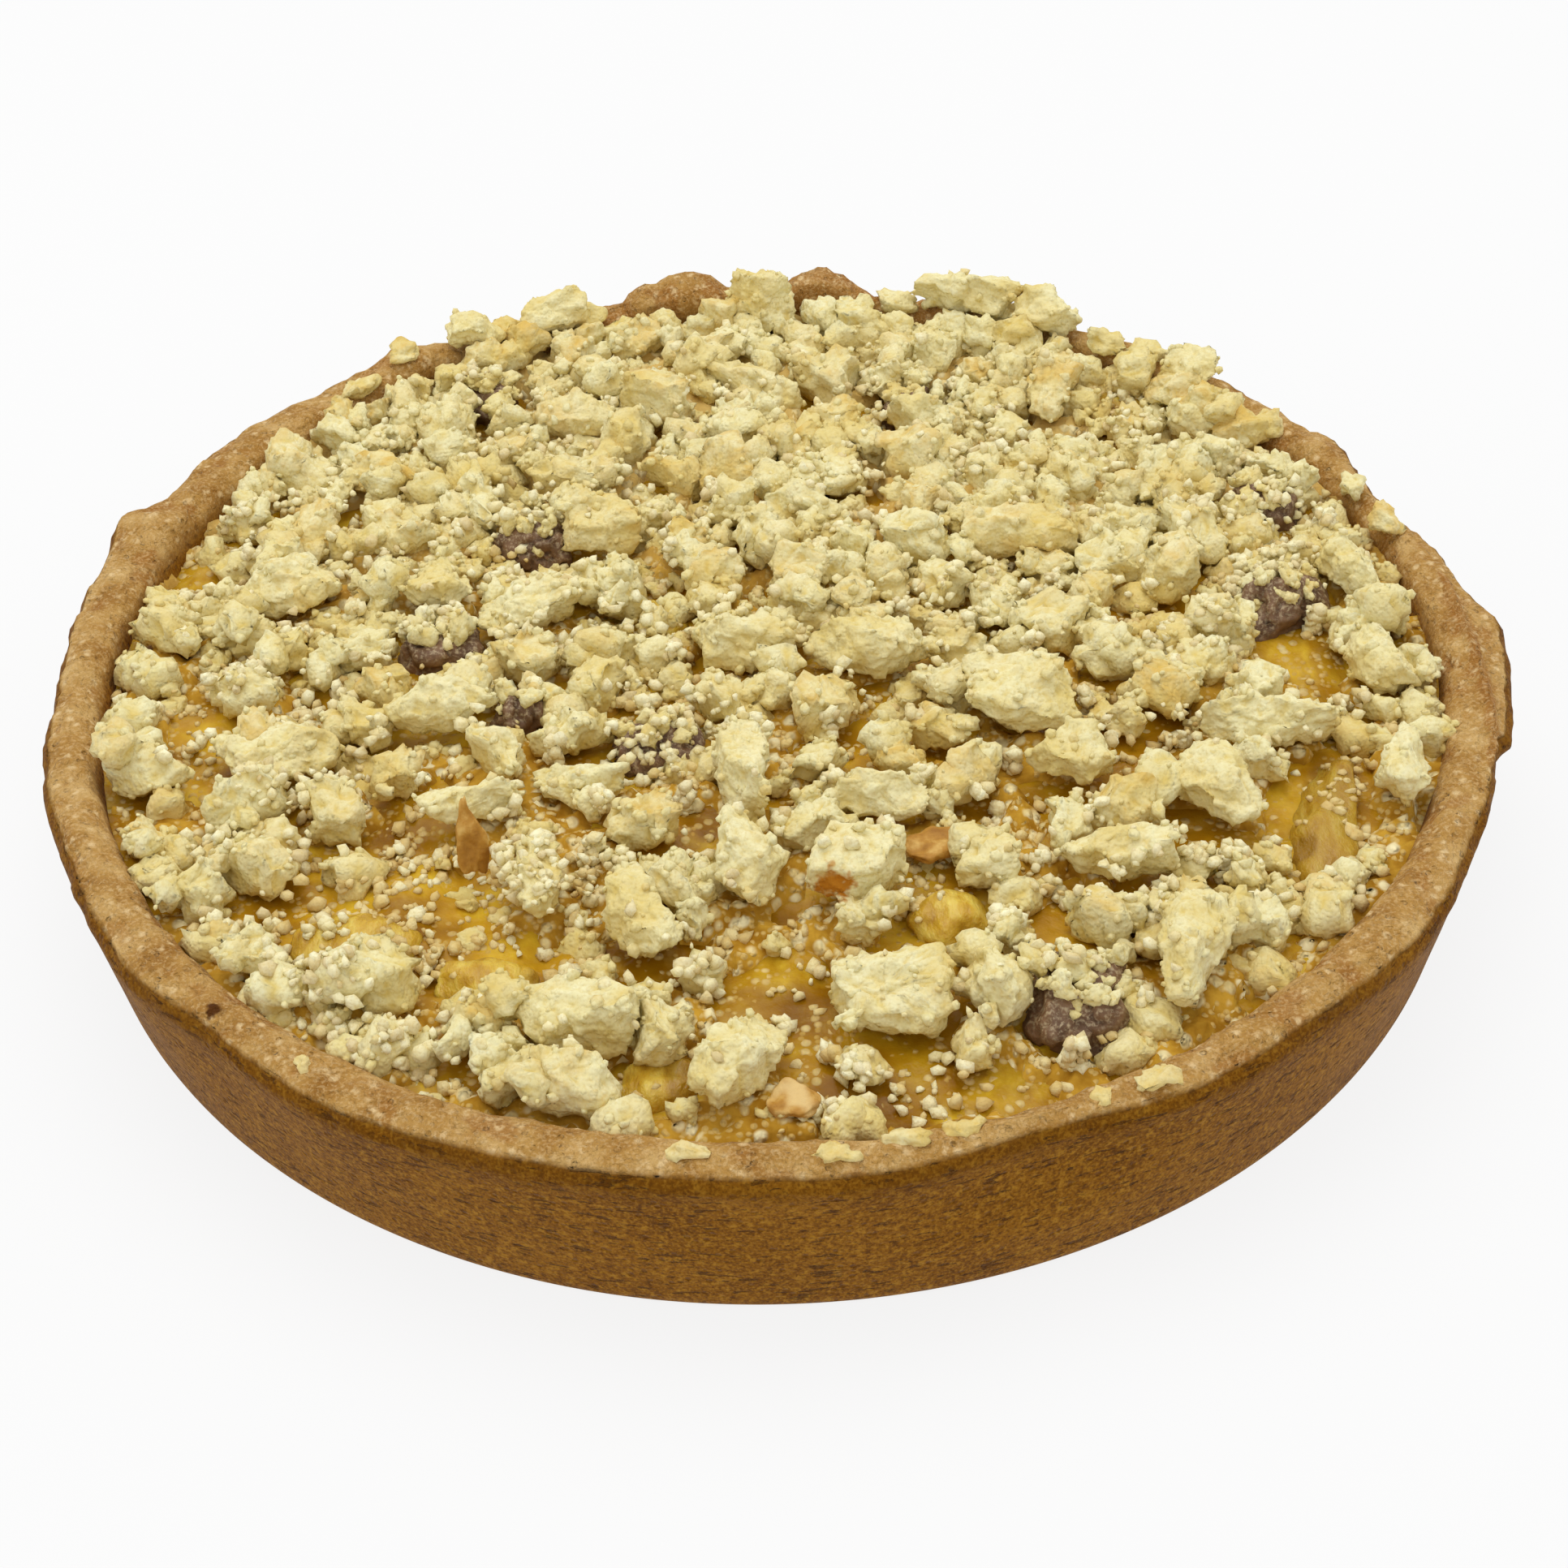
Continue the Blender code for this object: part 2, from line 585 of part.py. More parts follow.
def fuse_crumbs(core, filling_tree, trees, collection):
    """Fuses the crumbs on the core with one Boolean union, and keeps the one closed body."""
    crumbs = new_collection("crumbs to fuse")
    kept = []
    for number, x, y, size, turn in crumb_draws():
        if in_window(x, y, -0.5):
            continue
        if any(math.hypot(x - u, y - v) < CRUMB_SPACING * (size[0] + other) / 2 for u, v, other in kept):
            continue
        ground = level_at(filling_tree, x, y) + GAP + CORE_THICKNESS - CRUMB_SINK
        for share in CRUMB_SHARES:
            rng = random.Random(f"crumb {number}")
            local, faces = broken_piece(rng, [side * share for side in size], 1, chips=2)
            points = placed(local, x, y, ground - min(point.z for point in local), turn)
            if not touches(points, faces, trees):
                kept.append((x, y, size[0] * share))
                add_object(f"crumb_{number}", mesh_of("crumb", points, faces), crumbs)
                break
    boolean = core.modifiers.new("fuse", "BOOLEAN")
    boolean.operation = "UNION"
    boolean.operand_type = "COLLECTION"
    boolean.collection = crumbs
    boolean.solver = "MANIFOLD"
    heap = frozen(core, "crumble", collection, "crumble")
    for crumb in list(crumbs.objects):
        bpy.data.objects.remove(crumb, do_unlink=True)
    bpy.data.collections.remove(crumbs)
    keep_largest_body(heap)
    return heap


def keep_largest_body(piece):
    """Drops loose scraps and the walls of sealed hollows, and keeps the largest closed body."""
    bm = bmesh.new()
    bm.from_mesh(piece.data)
    bmesh.ops.triangulate(bm, faces=bm.faces)
    unseen = set(bm.verts)
    bodies = []
    while unseen:
        front = [unseen.pop()]
        body = set(front)
        while front:
            for edge in front.pop().link_edges:
                for vertex in edge.verts:
                    if vertex in unseen:
                        unseen.discard(vertex)
                        body.add(vertex)
                        front.append(vertex)
        bodies.append(body)
    largest = max(bodies, key=len)
    bmesh.ops.delete(bm, geom=[vertex for vertex in bm.verts if vertex not in largest], context="VERTS")
    bm.to_mesh(piece.data)
    bm.free()


def build_pie():
    clear_scene()
    pie = new_collection("apple crumble pie")
    window_cutters = new_collection("cutters for windows")

    crust = make_crust(pie)
    filling = make_filling(pie)
    filling_tree = object_tree(filling)
    trees = [object_tree(crust)]
    raisin_form = {"rough": 0.3, "chips": 2, "squareness": 2.3}
    apple_form = {"rough": 0.15, "chips": 4}
    trees += sunk_pieces(RAISINS, "raisin", RAISIN_RISE, filling_tree, pie, **raisin_form)
    trees += sunk_pieces(APPLES, "apple", APPLE_RISE, filling_tree, pie, **apple_form)

    core = make_core(pie)
    add_window_cutters(window_cutters)
    core = cut_out(core, window_cutters, "crumble", pie)

    core_tree = object_tree(core)
    trees += make_lumps(pie, trees + [core_tree])
    trees += make_flakes(pie, filling_tree, trees + [core_tree])
    fuse_crumbs(core, filling_tree, trees, pie)


build_pie()
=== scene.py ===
"""Apple crumble pie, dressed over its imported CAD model.

Lengths are worked out in millimetres and go into the meshes in metres, +Z up. The origin is the
middle of the pie's underside and -Y is its front.
"""
import itertools
import math
import random

import bpy
import numpy as np
from mathutils import Matrix, Vector, noise
from mathutils.bvhtree import BVHTree


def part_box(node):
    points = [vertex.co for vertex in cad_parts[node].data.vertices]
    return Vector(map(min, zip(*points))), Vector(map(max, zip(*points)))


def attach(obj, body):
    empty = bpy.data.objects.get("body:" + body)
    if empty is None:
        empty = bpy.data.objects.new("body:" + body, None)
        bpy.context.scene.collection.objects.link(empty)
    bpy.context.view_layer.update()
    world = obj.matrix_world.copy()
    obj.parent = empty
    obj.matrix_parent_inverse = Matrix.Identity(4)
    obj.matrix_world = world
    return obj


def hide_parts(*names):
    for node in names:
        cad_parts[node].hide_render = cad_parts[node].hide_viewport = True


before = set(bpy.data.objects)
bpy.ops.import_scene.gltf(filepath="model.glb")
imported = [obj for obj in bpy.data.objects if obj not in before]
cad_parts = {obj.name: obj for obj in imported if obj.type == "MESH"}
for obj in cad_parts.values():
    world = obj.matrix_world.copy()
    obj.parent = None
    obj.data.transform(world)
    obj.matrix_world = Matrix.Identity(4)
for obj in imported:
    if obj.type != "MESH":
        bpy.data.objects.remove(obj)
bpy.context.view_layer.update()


# The pastry case
# A shallow cup of shortcrust, pressed into a smooth tin and baked until golden brown. Its outside took
# the tin's smooth wall, with pores and fine cracks. Its rim was left rough, with crags at the back and
# a flap of dough folded over on the right.
MM = 0.001
RIM_HEIGHT = 24.0
CASE_STEPS = 440
# Corners of its section, from the filling over the rim to under its middle: radius, height and spacing
CASE_OUTLINE = (
    (81.6, 12.0, 0.9),
    (83.3, 19.6, 0.6),
    (83.8, 22.4, 0.4),
    (85.2, 23.7, 0.35),
    (87.2, 24.0, 0.35),
    (88.9, 23.4, 0.35),
    (90.0, 21.8, 0.4),
    (89.3, 17.6, 0.55),
    (88.3, 9.0, 0.55),
    (87.0, 0.72, 0.3),
    (86.4, 0.0, 3.0),
    (77.0, 0.0, 20.0),
    (40.0, 0.0, 20.0),
    (2.0, 0.0, 20.0),
)
# Bulges of the rim: azimuth and half width in degrees, then outward and upward in millimetres
RIM_BULGES = (
    (-140, 6, 1.4, 0.2),
    (-114, 13, 0.9, 0.0),
    (-72, 9, -1.3, -0.3),
    (-40, 10, 1.3, 0.2),
    (18, 7, -1.6, 0.0),
    (27, 3, 0.8, 0.9),
    (52, 8, -0.6, 0.6),
    (69, 4, 0.6, 1.6),
    (84, 4, 0.4, 4.4),
    (96.5, 4, 0.4, 3.8),
    (101.5, 2.5, 0.3, 2.2),
    (127, 5, 0.3, 2.6),
    (138, 7, 1.1, 0.2),
    (149, 9, 1.6, 0.3),
    (161, 3, 2.6, 1.2),
    (165, 5, 1.3, 0.0),
)
# Burnt spots on the rim: place and reach
BURNT_SPOTS = (((-59.4, -64.2, 23.8), 1.3), ((-61.5, -57.5, 23.8), 0.7))
FLAP_FROM = -15.5
FLAP_TO = 5.0
FLAP_OUT = 3.0
FLAP_SOFT_END = 6.0
FLAP_UNDERSIDE = 19.0


def smooth(value, low, high):
    """Goes from 0 to 1 without a kink while the value goes from low to high."""
    t = np.clip((value - low) / (high - low), 0.0, 1.0)
    return t * t * (3 - 2 * t)


def lattice(cells, salt):
    """An even random number from 0 to 1 for each whole-numbered cell."""
    x, y, z = (cells[:, axis].astype(np.uint32) for axis in range(3))
    mixed = x * np.uint32(374761393) + y * np.uint32(668265263) + z * np.uint32(2246822519)
    mixed = mixed + np.uint32((salt * 2654435761) % 4294967296)
    mixed = (mixed ^ (mixed >> np.uint32(13))) * np.uint32(1274126177)
    mixed = (mixed ^ (mixed >> np.uint32(15))) * np.uint32(2246822519)
    return ((mixed ^ (mixed >> np.uint32(16))) & np.uint32(0xFFFFFF)) / 0xFFFFFF


def wavy(points, size, salt=0, octaves=1):
    """Smooth noise of about -1 to 1, with waves of a size in millimetres."""
    total = np.zeros(len(points))
    share = 1.0
    for octave in range(octaves):
        scaled = points / size + 7.31 * octave
        cells = np.floor(scaled).astype(np.int64)
        t = scaled - cells
        t = t * t * t * (t * (t * 6 - 15) + 10)
        for corner in itertools.product((0, 1), repeat=3):
            weight = np.prod(np.where(corner, t, 1 - t), axis=1)
            total += share * weight * (2 * lattice(cells + corner, salt * 11 + octave) - 1)
        size /= 2
        share /= 2
    return total


def beads(points, size, salt=0):
    """Packed round grains of a size in millimetres: 1 on the middle of a grain, 0 between grains."""
    scaled = points / size
    cells = np.floor(scaled).astype(np.int64)
    nearest = np.full(len(points), 9.0)
    for step in itertools.product((-1, 0, 1), repeat=3):
        neighbours = cells + step
        middles = neighbours + np.stack([lattice(neighbours, salt * 7 + i) for i in range(3)], 1)
        nearest = np.minimum(nearest, ((scaled - middles) ** 2).sum(1))
    return np.clip(1 - nearest / 0.7, 0, 1)


def outward(points, faces):
    """The outward direction of the surface at each point of a mesh of four-sided faces."""
    across = np.cross(points[faces[:, 2]] - points[faces[:, 0]], points[faces[:, 3]] - points[faces[:, 1]])
    sums = [np.bincount(faces.ravel(), np.repeat(across[:, axis], 4), len(points)) for axis in range(3)]
    summed = np.stack(sums, 1)
    return summed / np.maximum(np.linalg.norm(summed, axis=1, keepdims=True), 1e-9)


def new_piece(name, points, faces, material, marks=None):
    """Makes a piece of the pie from points in millimetres, with named marks for its material."""
    mesh = bpy.data.meshes.new(name)
    mesh.from_pydata(points * MM, [], faces)
    mesh.polygons.foreach_set("use_smooth", np.ones(len(mesh.polygons), bool))
    for mark, values in (marks or {}).items():
        attribute = mesh.attributes.new(mark, "FLOAT", "POINT")
        attribute.data.foreach_set("value", np.asarray(values, np.float32))
    mesh.materials.append(material)
    piece = bpy.data.objects.new(name, mesh)
    bpy.context.scene.collection.objects.link(piece)
    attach(piece, "root")
    return piece


def linear(colour):
    """Shader colour of an sRGB colour read from the photograph."""
    parts = [part / 255 for part in colour]
    return [part / 12.92 if part <= 0.04045 else ((part + 0.055) / 1.055) ** 2.4 for part in parts] + [1.0]


def add_node(tree, kind, sockets, **settings):
    """Adds a shader node. Each socket gets a value or is joined to another node's output."""
    node = tree.nodes.new("ShaderNode" + kind)
    for name, value in settings.items():
        setattr(node, name, value)
    for name, value in sockets.items():
        if isinstance(value, bpy.types.NodeSocket):
            tree.links.new(value, node.inputs[name])
        else:
            node.inputs[name].default_value = value
    return node


def mottle(tree, size, detail=3.0, stretch=(1.0, 1.0, 1.0)):
    """Cloudy noise from 0 to 1, with patches of a size in millimetres."""
    where = add_node(tree, "TexCoord", {}).outputs["Object"]
    placed = add_node(tree, "Mapping", {"Vector": where, "Scale": stretch}).outputs["Vector"]
    sockets = {"Vector": placed, "Scale": 1 / (size * MM), "Detail": detail, "Roughness": 0.55}
    return add_node(tree, "TexNoise", sockets).outputs["Fac"]


def cells(tree, size):
    """Distance from the middle of packed round cells of a size in millimetres."""
    where = add_node(tree, "TexCoord", {}).outputs["Object"]
    packed = add_node(tree, "TexVoronoi", {"Vector": where, "Scale": 1 / (size * MM)})
    return packed.outputs["Distance"]


def ramp(tree, value, low, high, from_low=0.0, to_high=1.0):
    """A number that goes smoothly from one value to another while its source goes from low to high."""
    sockets = {"Value": value, "From Min": low, "From Max": high, "To Min": from_low, "To Max": to_high}
    return add_node(tree, "MapRange", sockets, interpolation_type="SMOOTHSTEP").outputs["Result"]


def shades(tree, value, *stops):
    """Colours along a value. Each stop is a place from 0 to 1 and an sRGB colour."""
    node = add_node(tree, "ValToRGB", {"Fac": value})
    elements = node.color_ramp.elements
    elements[0].position, elements[1].position = stops[0][0], stops[-1][0]
    elements[0].color, elements[1].color = linear(stops[0][1]), linear(stops[-1][1])
    for place, colour in stops[1:-1]:
        elements.new(place).color = linear(colour)
    return node.outputs["Color"]


def spot(tree, place, reach, share=1.0):
    """A patch with an uneven edge round a place in millimetres: its share in the middle, 0 outside."""
    where = add_node(tree, "TexCoord", {}).outputs["Object"]
    node = add_node(tree, "VectorMath", {}, operation="DISTANCE")
    tree.links.new(where, node.inputs[0])
    node.inputs[1].default_value = [side * MM for side in place]
    uneven = ramp(tree, mottle(tree, 1.5, 2.0), 0.3, 0.7, -0.3 * reach * MM, 0.3 * reach * MM)
    far = combined(tree, "ADD", node.outputs["Value"], uneven)
    return ramp(tree, far, 0.5 * reach * MM, reach * MM, share, 0.0)


def laid_over(tree, share, under, over):
    """One colour laid over another where the share is 1. Either may be a plain sRGB colour."""
    node = tree.nodes.new("ShaderNodeMix")
    node.data_type = "RGBA"
    tree.links.new(share, node.inputs[0])
    for socket, colour in ((node.inputs[6], under), (node.inputs[7], over)):
        if isinstance(colour, bpy.types.NodeSocket):
            tree.links.new(colour, socket)
        else:
            socket.default_value = linear(colour)
    return node.outputs[2]


def combined(tree, operation, first, second):
    """A sum, product or other arithmetic of two numbers."""
    node = add_node(tree, "Math", {}, operation=operation)
    for socket, value in zip(node.inputs, (first, second)):
        if isinstance(value, bpy.types.NodeSocket):
            tree.links.new(value, socket)
        else:
            socket.default_value = value
    return node.outputs[0]


def relief(tree, height, depth, under=None):
    """Surface relief of a depth in millimetres, laid over another relief."""
    sockets = {"Height": height, "Distance": depth * MM, "Strength": 1.0}
    if under is not None:
        sockets["Normal"] = under
    return add_node(tree, "Bump", sockets).outputs["Normal"]


def patches(tree, size, detail, low, high, most):
    """Shares of a cloudy pattern that go up to the most where its noise passes from low to high."""
    return ramp(tree, mottle(tree, size, detail), low, high, 0.0, most)


def mark_of(tree, name, share=1.0):
    """A piece's own mark, times a share."""
    mark = add_node(tree, "Attribute", {}, attribute_name=name).outputs["Fac"]
    return mark if share == 1.0 else combined(tree, "MULTIPLY", mark, share)


def food_material(name, roughness, specular=0.35):
    """A new material, its node tree and its Principled shader."""
    material = bpy.data.materials.new(name)
    material.use_nodes = True
    tree = material.node_tree
    shader = tree.nodes["Principled BSDF"]
    shader.inputs["Roughness"].default_value = roughness
    shader.inputs["Specular IOR Level"].default_value = specular
    return material, tree, shader


def finish_with(tree, shader, colour, normal):
    tree.links.new(colour, shader.inputs["Base Color"])
    tree.links.new(normal, shader.inputs["Normal"])


def angle_between(a, b):
    return (a - b + 180) % 360 - 180


def rim_shift(azimuth):
    """How far the rim stands outward and upward at azimuths in degrees."""
    wave = np.radians(azimuth)
    out = 0.25 * np.sin(wave * 11) + 0.2 * np.sin(wave * 17 + math.radians(40))
    up = 0.2 * np.sin(wave * 7 + math.radians(70)) + 0.15 * np.sin(wave * 13)
    for centre, half_width, bulge_out, bulge_up in RIM_BULGES:
        share = np.exp(-((angle_between(azimuth, centre) / half_width) ** 2))
        out = out + bulge_out * share
        up = up + bulge_up * share
    return out, up


def flap_shift(azimuth):
    """How far the folded flap stands outward: cut off at its front end, and running out at its back end."""
    cut_end = smooth(azimuth, FLAP_FROM - 0.8, FLAP_FROM + 0.8) * (1 - 0.4 * smooth(-azimuth, 6, 16))
    return FLAP_OUT * cut_end * (1 - smooth(azimuth, FLAP_TO - FLAP_SOFT_END, FLAP_TO))


def outline_points(outline):
    """Points along an outline of (radius, height, spacing) corners, rounded a little at each corner."""
    fine = []
    for (r0, z0, spacing), (r1, z1, _) in zip(outline, outline[1:]):
        count = max(1, round(math.hypot(r1 - r0, z1 - z0) / spacing))
        fine += [(r0 + (r1 - r0) * i / count, z0 + (z1 - z0) * i / count) for i in range(count)]
    fine.append(outline[-1][:2])
    line = np.array(fine)
    for _ in range(3):
        rounded = 0.25 * line[:-2] + 0.5 * line[1:-1] + 0.25 * line[2:]
        line[1:-1] = np.where(line[1:-1, 1:] > 0.3, rounded, line[1:-1])
    return line


def ring_faces(rings, steps):
    """Four-sided faces that join rings of points, each closed on itself."""
    ring, step = np.meshgrid(np.arange(rings - 1), np.arange(steps), indexing="ij")
    after = (step + 1) % steps
    here, next_ring = ring * steps, (ring + 1) * steps
    corners = (here + step, here + after, next_ring + after, next_ring + step)
    return np.stack([corner.ravel() for corner in corners], 1)


def case_points():
    """The case's surface from the inner wall over the rim and down to the middle of the underside."""
    line = outline_points(CASE_OUTLINE)
    azimuth = np.linspace(-180, 180, CASE_STEPS, endpoint=False)
    radius, turn = np.broadcast_arrays(line[:, :1], azimuth[None, :])
    height = np.broadcast_to(line[:, 1:], radius.shape)
    out, up = rim_shift(turn)
    raised = smooth(height, 19.6, RIM_HEIGHT - 0.8)
    outer_side = smooth(radius, 85.5, 88.5)
    floury = raised * (1 - outer_side * (1 - smooth(height, 22.8, 23.4)))
    push = out * smooth(height, 6.0, RIM_HEIGHT - 3.0) * outer_side
    push = push + flap_shift(turn) * smooth(height, FLAP_UNDERSIDE, FLAP_UNDERSIDE + 2.0) * outer_side
    radius = radius + push
    height = height + up * raised
    around = np.radians(turn)
    points = np.stack([radius * np.cos(around), radius * np.sin(around), height], -1)
    return points.reshape(-1, 3), raised.ravel(), floury.ravel(), turn.ravel(), len(line)


def dress_case():
    """The case with its relief, and the marks of where it is browned, floury, and painted with shade below
    its edge.
    """
    points, raised, floury, turn, rings = case_points()
    faces = ring_faces(rings, CASE_STEPS)
    ways = outward(points, faces)
    above = smooth(points[:, 2], 0.3, 2.0)
    lumpy = wavy(points, 3.6, 1, 3)
    grainy = beads(points, 1.15, 2)
    crags = np.exp(-((np.abs(angle_between(turn, 90)) / 24) ** 4)) * raised
    from_fold = np.hypot(points[:, 0], points[:, 1]) - 87.2 - 1.9 * smooth(-turn, -1, 19)
    beside = raised * smooth(turn, -21, -17) * (1 - smooth(turn, 2, 7))
    fold = beside * np.exp(-((from_fold / 0.6) ** 2))
    height = above * 0.05 * wavy(points, 9.0, 3, 2)
    height += raised * (0.4 * lumpy + 0.3 * (grainy - 0.45))
    height += crags * 0.7 * wavy(points, 2.6, 4, 2)
    height += 0.35 * beside * smooth(from_fold, 0.3, 1.2) - 0.9 * fold
    points = points + ways * height[:, None]
    brown = np.clip(0.5 + 0.5 * lumpy + 0.4 * crags + fold, 0, 1)
    # Painted shade: a dark band down the wall just under the rim's edge.
    below = (1 - floury) * smooth(points[:, 2], 18.0, 21.5) * (0.7 + 0.3 * wavy(points, 5.0, 5, 2))
    return points, faces, {"brown": brown, "rim": floury, "painted_edge_shade": np.clip(below, 0, 1)}


def baked_case_material():
    """Golden-brown shortcrust: browner down the outside, partly painted shade; floury and grainy on the
    rim.
    """
    material, tree, shader = food_material("baked shortcrust", 0.7, 0.05)
    shader.inputs["Sheen Weight"].default_value = 0.05
    shader.inputs["Sheen Roughness"].default_value = 0.4
    rim = mark_of(tree, "rim")
    cloud = mottle(tree, 14.0, 4.0)
    # The wall's browns are its baked colour darkened by painted shade of the side, which faces away from
    # the overhead light.
    wall = shades(tree, cloud, (0.25, (110, 66, 4)), (0.5, (126, 79, 9)), (0.78, (144, 95, 18)))
    fine = mottle(tree, 0.9, 3.0)
    grit = mottle(tree, 0.35, 2.0)
    crack = mottle(tree, 3.2, 5.0, (1.0, 1.0, 5.0))
    for pattern, low, high, most, shade in (
        (fine, 0.50, 0.70, 0.6, (170, 122, 34)),
        (fine, 0.48, 0.28, 0.7, (86, 50, 6)),
        (grit, 0.50, 0.66, 0.45, (166, 118, 34)),
        (grit, 0.48, 0.34, 0.55, (78, 44, 4)),
        (crack, 0.62, 0.66, 0.7, (76, 42, 4)),
    ):
        wall = laid_over(tree, ramp(tree, pattern, low, high, 0.0, most), wall, shade)
    # Painted shade under the rim's edge.
    wall = laid_over(tree, mark_of(tree, "painted_edge_shade", 0.45), wall, (92, 54, 4))
    cloud = mottle(tree, 5.0, 4.0)
    top = shades(tree, cloud, (0.28, (150, 104, 44)), (0.5, (180, 137, 72)), (0.75, (208, 172, 110)))
    top = laid_over(tree, ramp(tree, mark_of(tree, "brown"), 0.62, 0.95, 0.0, 0.55), top, (148, 92, 34))
    top = laid_over(tree, patches(tree, 0.45, 2.0, 0.44, 0.68, 0.4), top, (222, 188, 134))
    fleck = ramp(tree, cells(tree, 1.7), 0.12, 0.42, 0.8, 0.0)
    flecks = combined(tree, "MULTIPLY", fleck, ramp(tree, fine, 0.35, 0.6))
    top = laid_over(tree, flecks, top, (228, 198, 146))
    colour = laid_over(tree, rim, wall, top)
    pore = ramp(tree, cells(tree, 1.5), 0.10, 0.30)
    weaker = ramp(tree, rim, 0.0, 1.0, 1.0, 0.3)
    pitted = combined(tree, "MULTIPLY", ramp(tree, pore, 1.0, 0.0, 0.0, 0.5), weaker)
    colour = laid_over(tree, pitted, colour, (90, 52, 8))
    for place, reach in BURNT_SPOTS:
        colour = laid_over(tree, spot(tree, place, reach), colour, (84, 48, 14))
    normal = relief(tree, pore, 0.14)
    cracked = combined(tree, "MAXIMUM", ramp(tree, crack, 0.60, 0.66, 1.0, 0.0), rim)
    normal = relief(tree, cracked, 0.2, normal)
    normal = relief(tree, mottle(tree, 0.5, 4.0), 0.16, normal)
    normal = relief(tree, combined(tree, "MULTIPLY", mottle(tree, 1.7, 4.0), rim), 1.4, normal)
    finish_with(tree, shader, colour, normal)
    return material


points, faces, marks = dress_case()
crust = new_piece("shortcrust_case", points, faces, baked_case_material(), marks)
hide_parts("crust")


# The apple jelly
# Cooked apple in its thickened juice, a glossy amber sheet with a swelling surface that shows in the
# openings of the crumble. It was poured into the baked case and set against its wall.
FILLING_LEVEL = 19.3
FILLING_SWELL = 1.3
FILLING_WAVE = 36.0
FILLING_EDGE = 83.7
JELLY_CUTS = 140
THIN_JELLY = ((0.30, (142, 96, 8)), (0.45, (168, 120, 16)), (0.57, (192, 144, 28)), (0.72, (222, 184, 50)))
DARK_JELLY = ((0.30, (118, 76, 2)), (0.45, (140, 94, 4)), (0.57, (162, 116, 10)), (0.72, (196, 154, 28)))
# Where the jelly is deep and dark, and where yellow apple lies just under it: x, y and reach
DEEP_JELLY = (
    (1.0, -62.0, 9.0),
    (13.0, -76.0, 11.0),
    (-10.0, -78.0, 8.0),
    (-14.0, -60.0, 7.0),
    (20.0, -70.0, 7.0),
)
YELLOW_FRUIT = (
    (-50.0, -52.0, 6.0),
    (-32.0, -57.0, 5.0),
    (0.0, -56.0, 4.0),
    (-10.0, -75.0, 5.0),
    (-76.5, 22.6, 4.0),
    (-67.0, -12.6, 5.0),
    (66.6, -3.2, 5.0),
    (23.0, -75.0, 4.0),
    (-18.0, 9.0, 6.0),
    (60.0, -38.0, 6.0),
    (21.0, -50.0, 5.0),
    (56.0, 55.0, 5.0),
    (38.0, 62.0, 5.0),
    (-60.0, 44.0, 4.0),
)


def filling_level(points):
    """Height of the smooth filling under points."""
    heights = [noise.noise((x / FILLING_WAVE, y / FILLING_WAVE, 3.7)) for x, y in points[:, :2].tolist()]
    return FILLING_LEVEL + FILLING_SWELL * np.array(heights)


def round_sheet(cuts, radius):
    """A round sheet of nearly square faces."""
    steps = np.linspace(-1, 1, cuts + 1)
    u, v = (side.ravel() for side in np.meshgrid(steps, steps, indexing="ij"))
    wide = np.abs(u) >= np.abs(v)
    reach = np.where(wide, u, v)
    safe = np.where(reach == 0, 1.0, reach)
    angle = np.where(wide, v / safe * math.pi / 4, math.pi / 2 - u / safe * math.pi / 4)
    points = np.stack([reach * np.cos(angle), reach * np.sin(angle), np.zeros(len(u))], 1) * radius
    row, column = (side.ravel() for side in np.meshgrid(np.arange(cuts), np.arange(cuts), indexing="ij"))
    first = row * (cuts + 1) + column
    faces = np.stack([first, first + cuts + 1, first + cuts + 2, first + 1], 1)
    return points, faces


def sand(tree, size, fewest, most):
    """Round grains of a size in millimetres, set in drifts: 1 on a grain, and the grains' height."""
    where = add_node(tree, "TexCoord", {}).outputs["Object"]
    packed = add_node(tree, "TexVoronoi", {"Vector": where, "Scale": 1 / (size * MM)})
    each = add_node(tree, "SeparateColor", {"Color": packed.outputs["Color"]}).outputs[0]
    drift = ramp(tree, mottle(tree, 7.0, 2.0), 0.36, 0.62, fewest, most)
    there = combined(tree, "LESS_THAN", each, drift)
    body = ramp(tree, packed.outputs["Distance"], 0.30, 0.52, 1.0, 0.0)
    dome = ramp(tree, packed.outputs["Distance"], 0.0, 0.52, 1.0, 0.0)
    return combined(tree, "MULTIPLY", body, there), combined(tree, "MULTIPLY", dome, there)


def let_light_in(shader, share, reach, depth):
    """Lets light into wet fruit, with its reach in red, green and blue and its depth in millimetres."""
    shader.inputs["Subsurface Weight"].default_value = share
    shader.inputs["Subsurface Radius"].default_value = reach
    shader.inputs["Subsurface Scale"].default_value = depth * MM


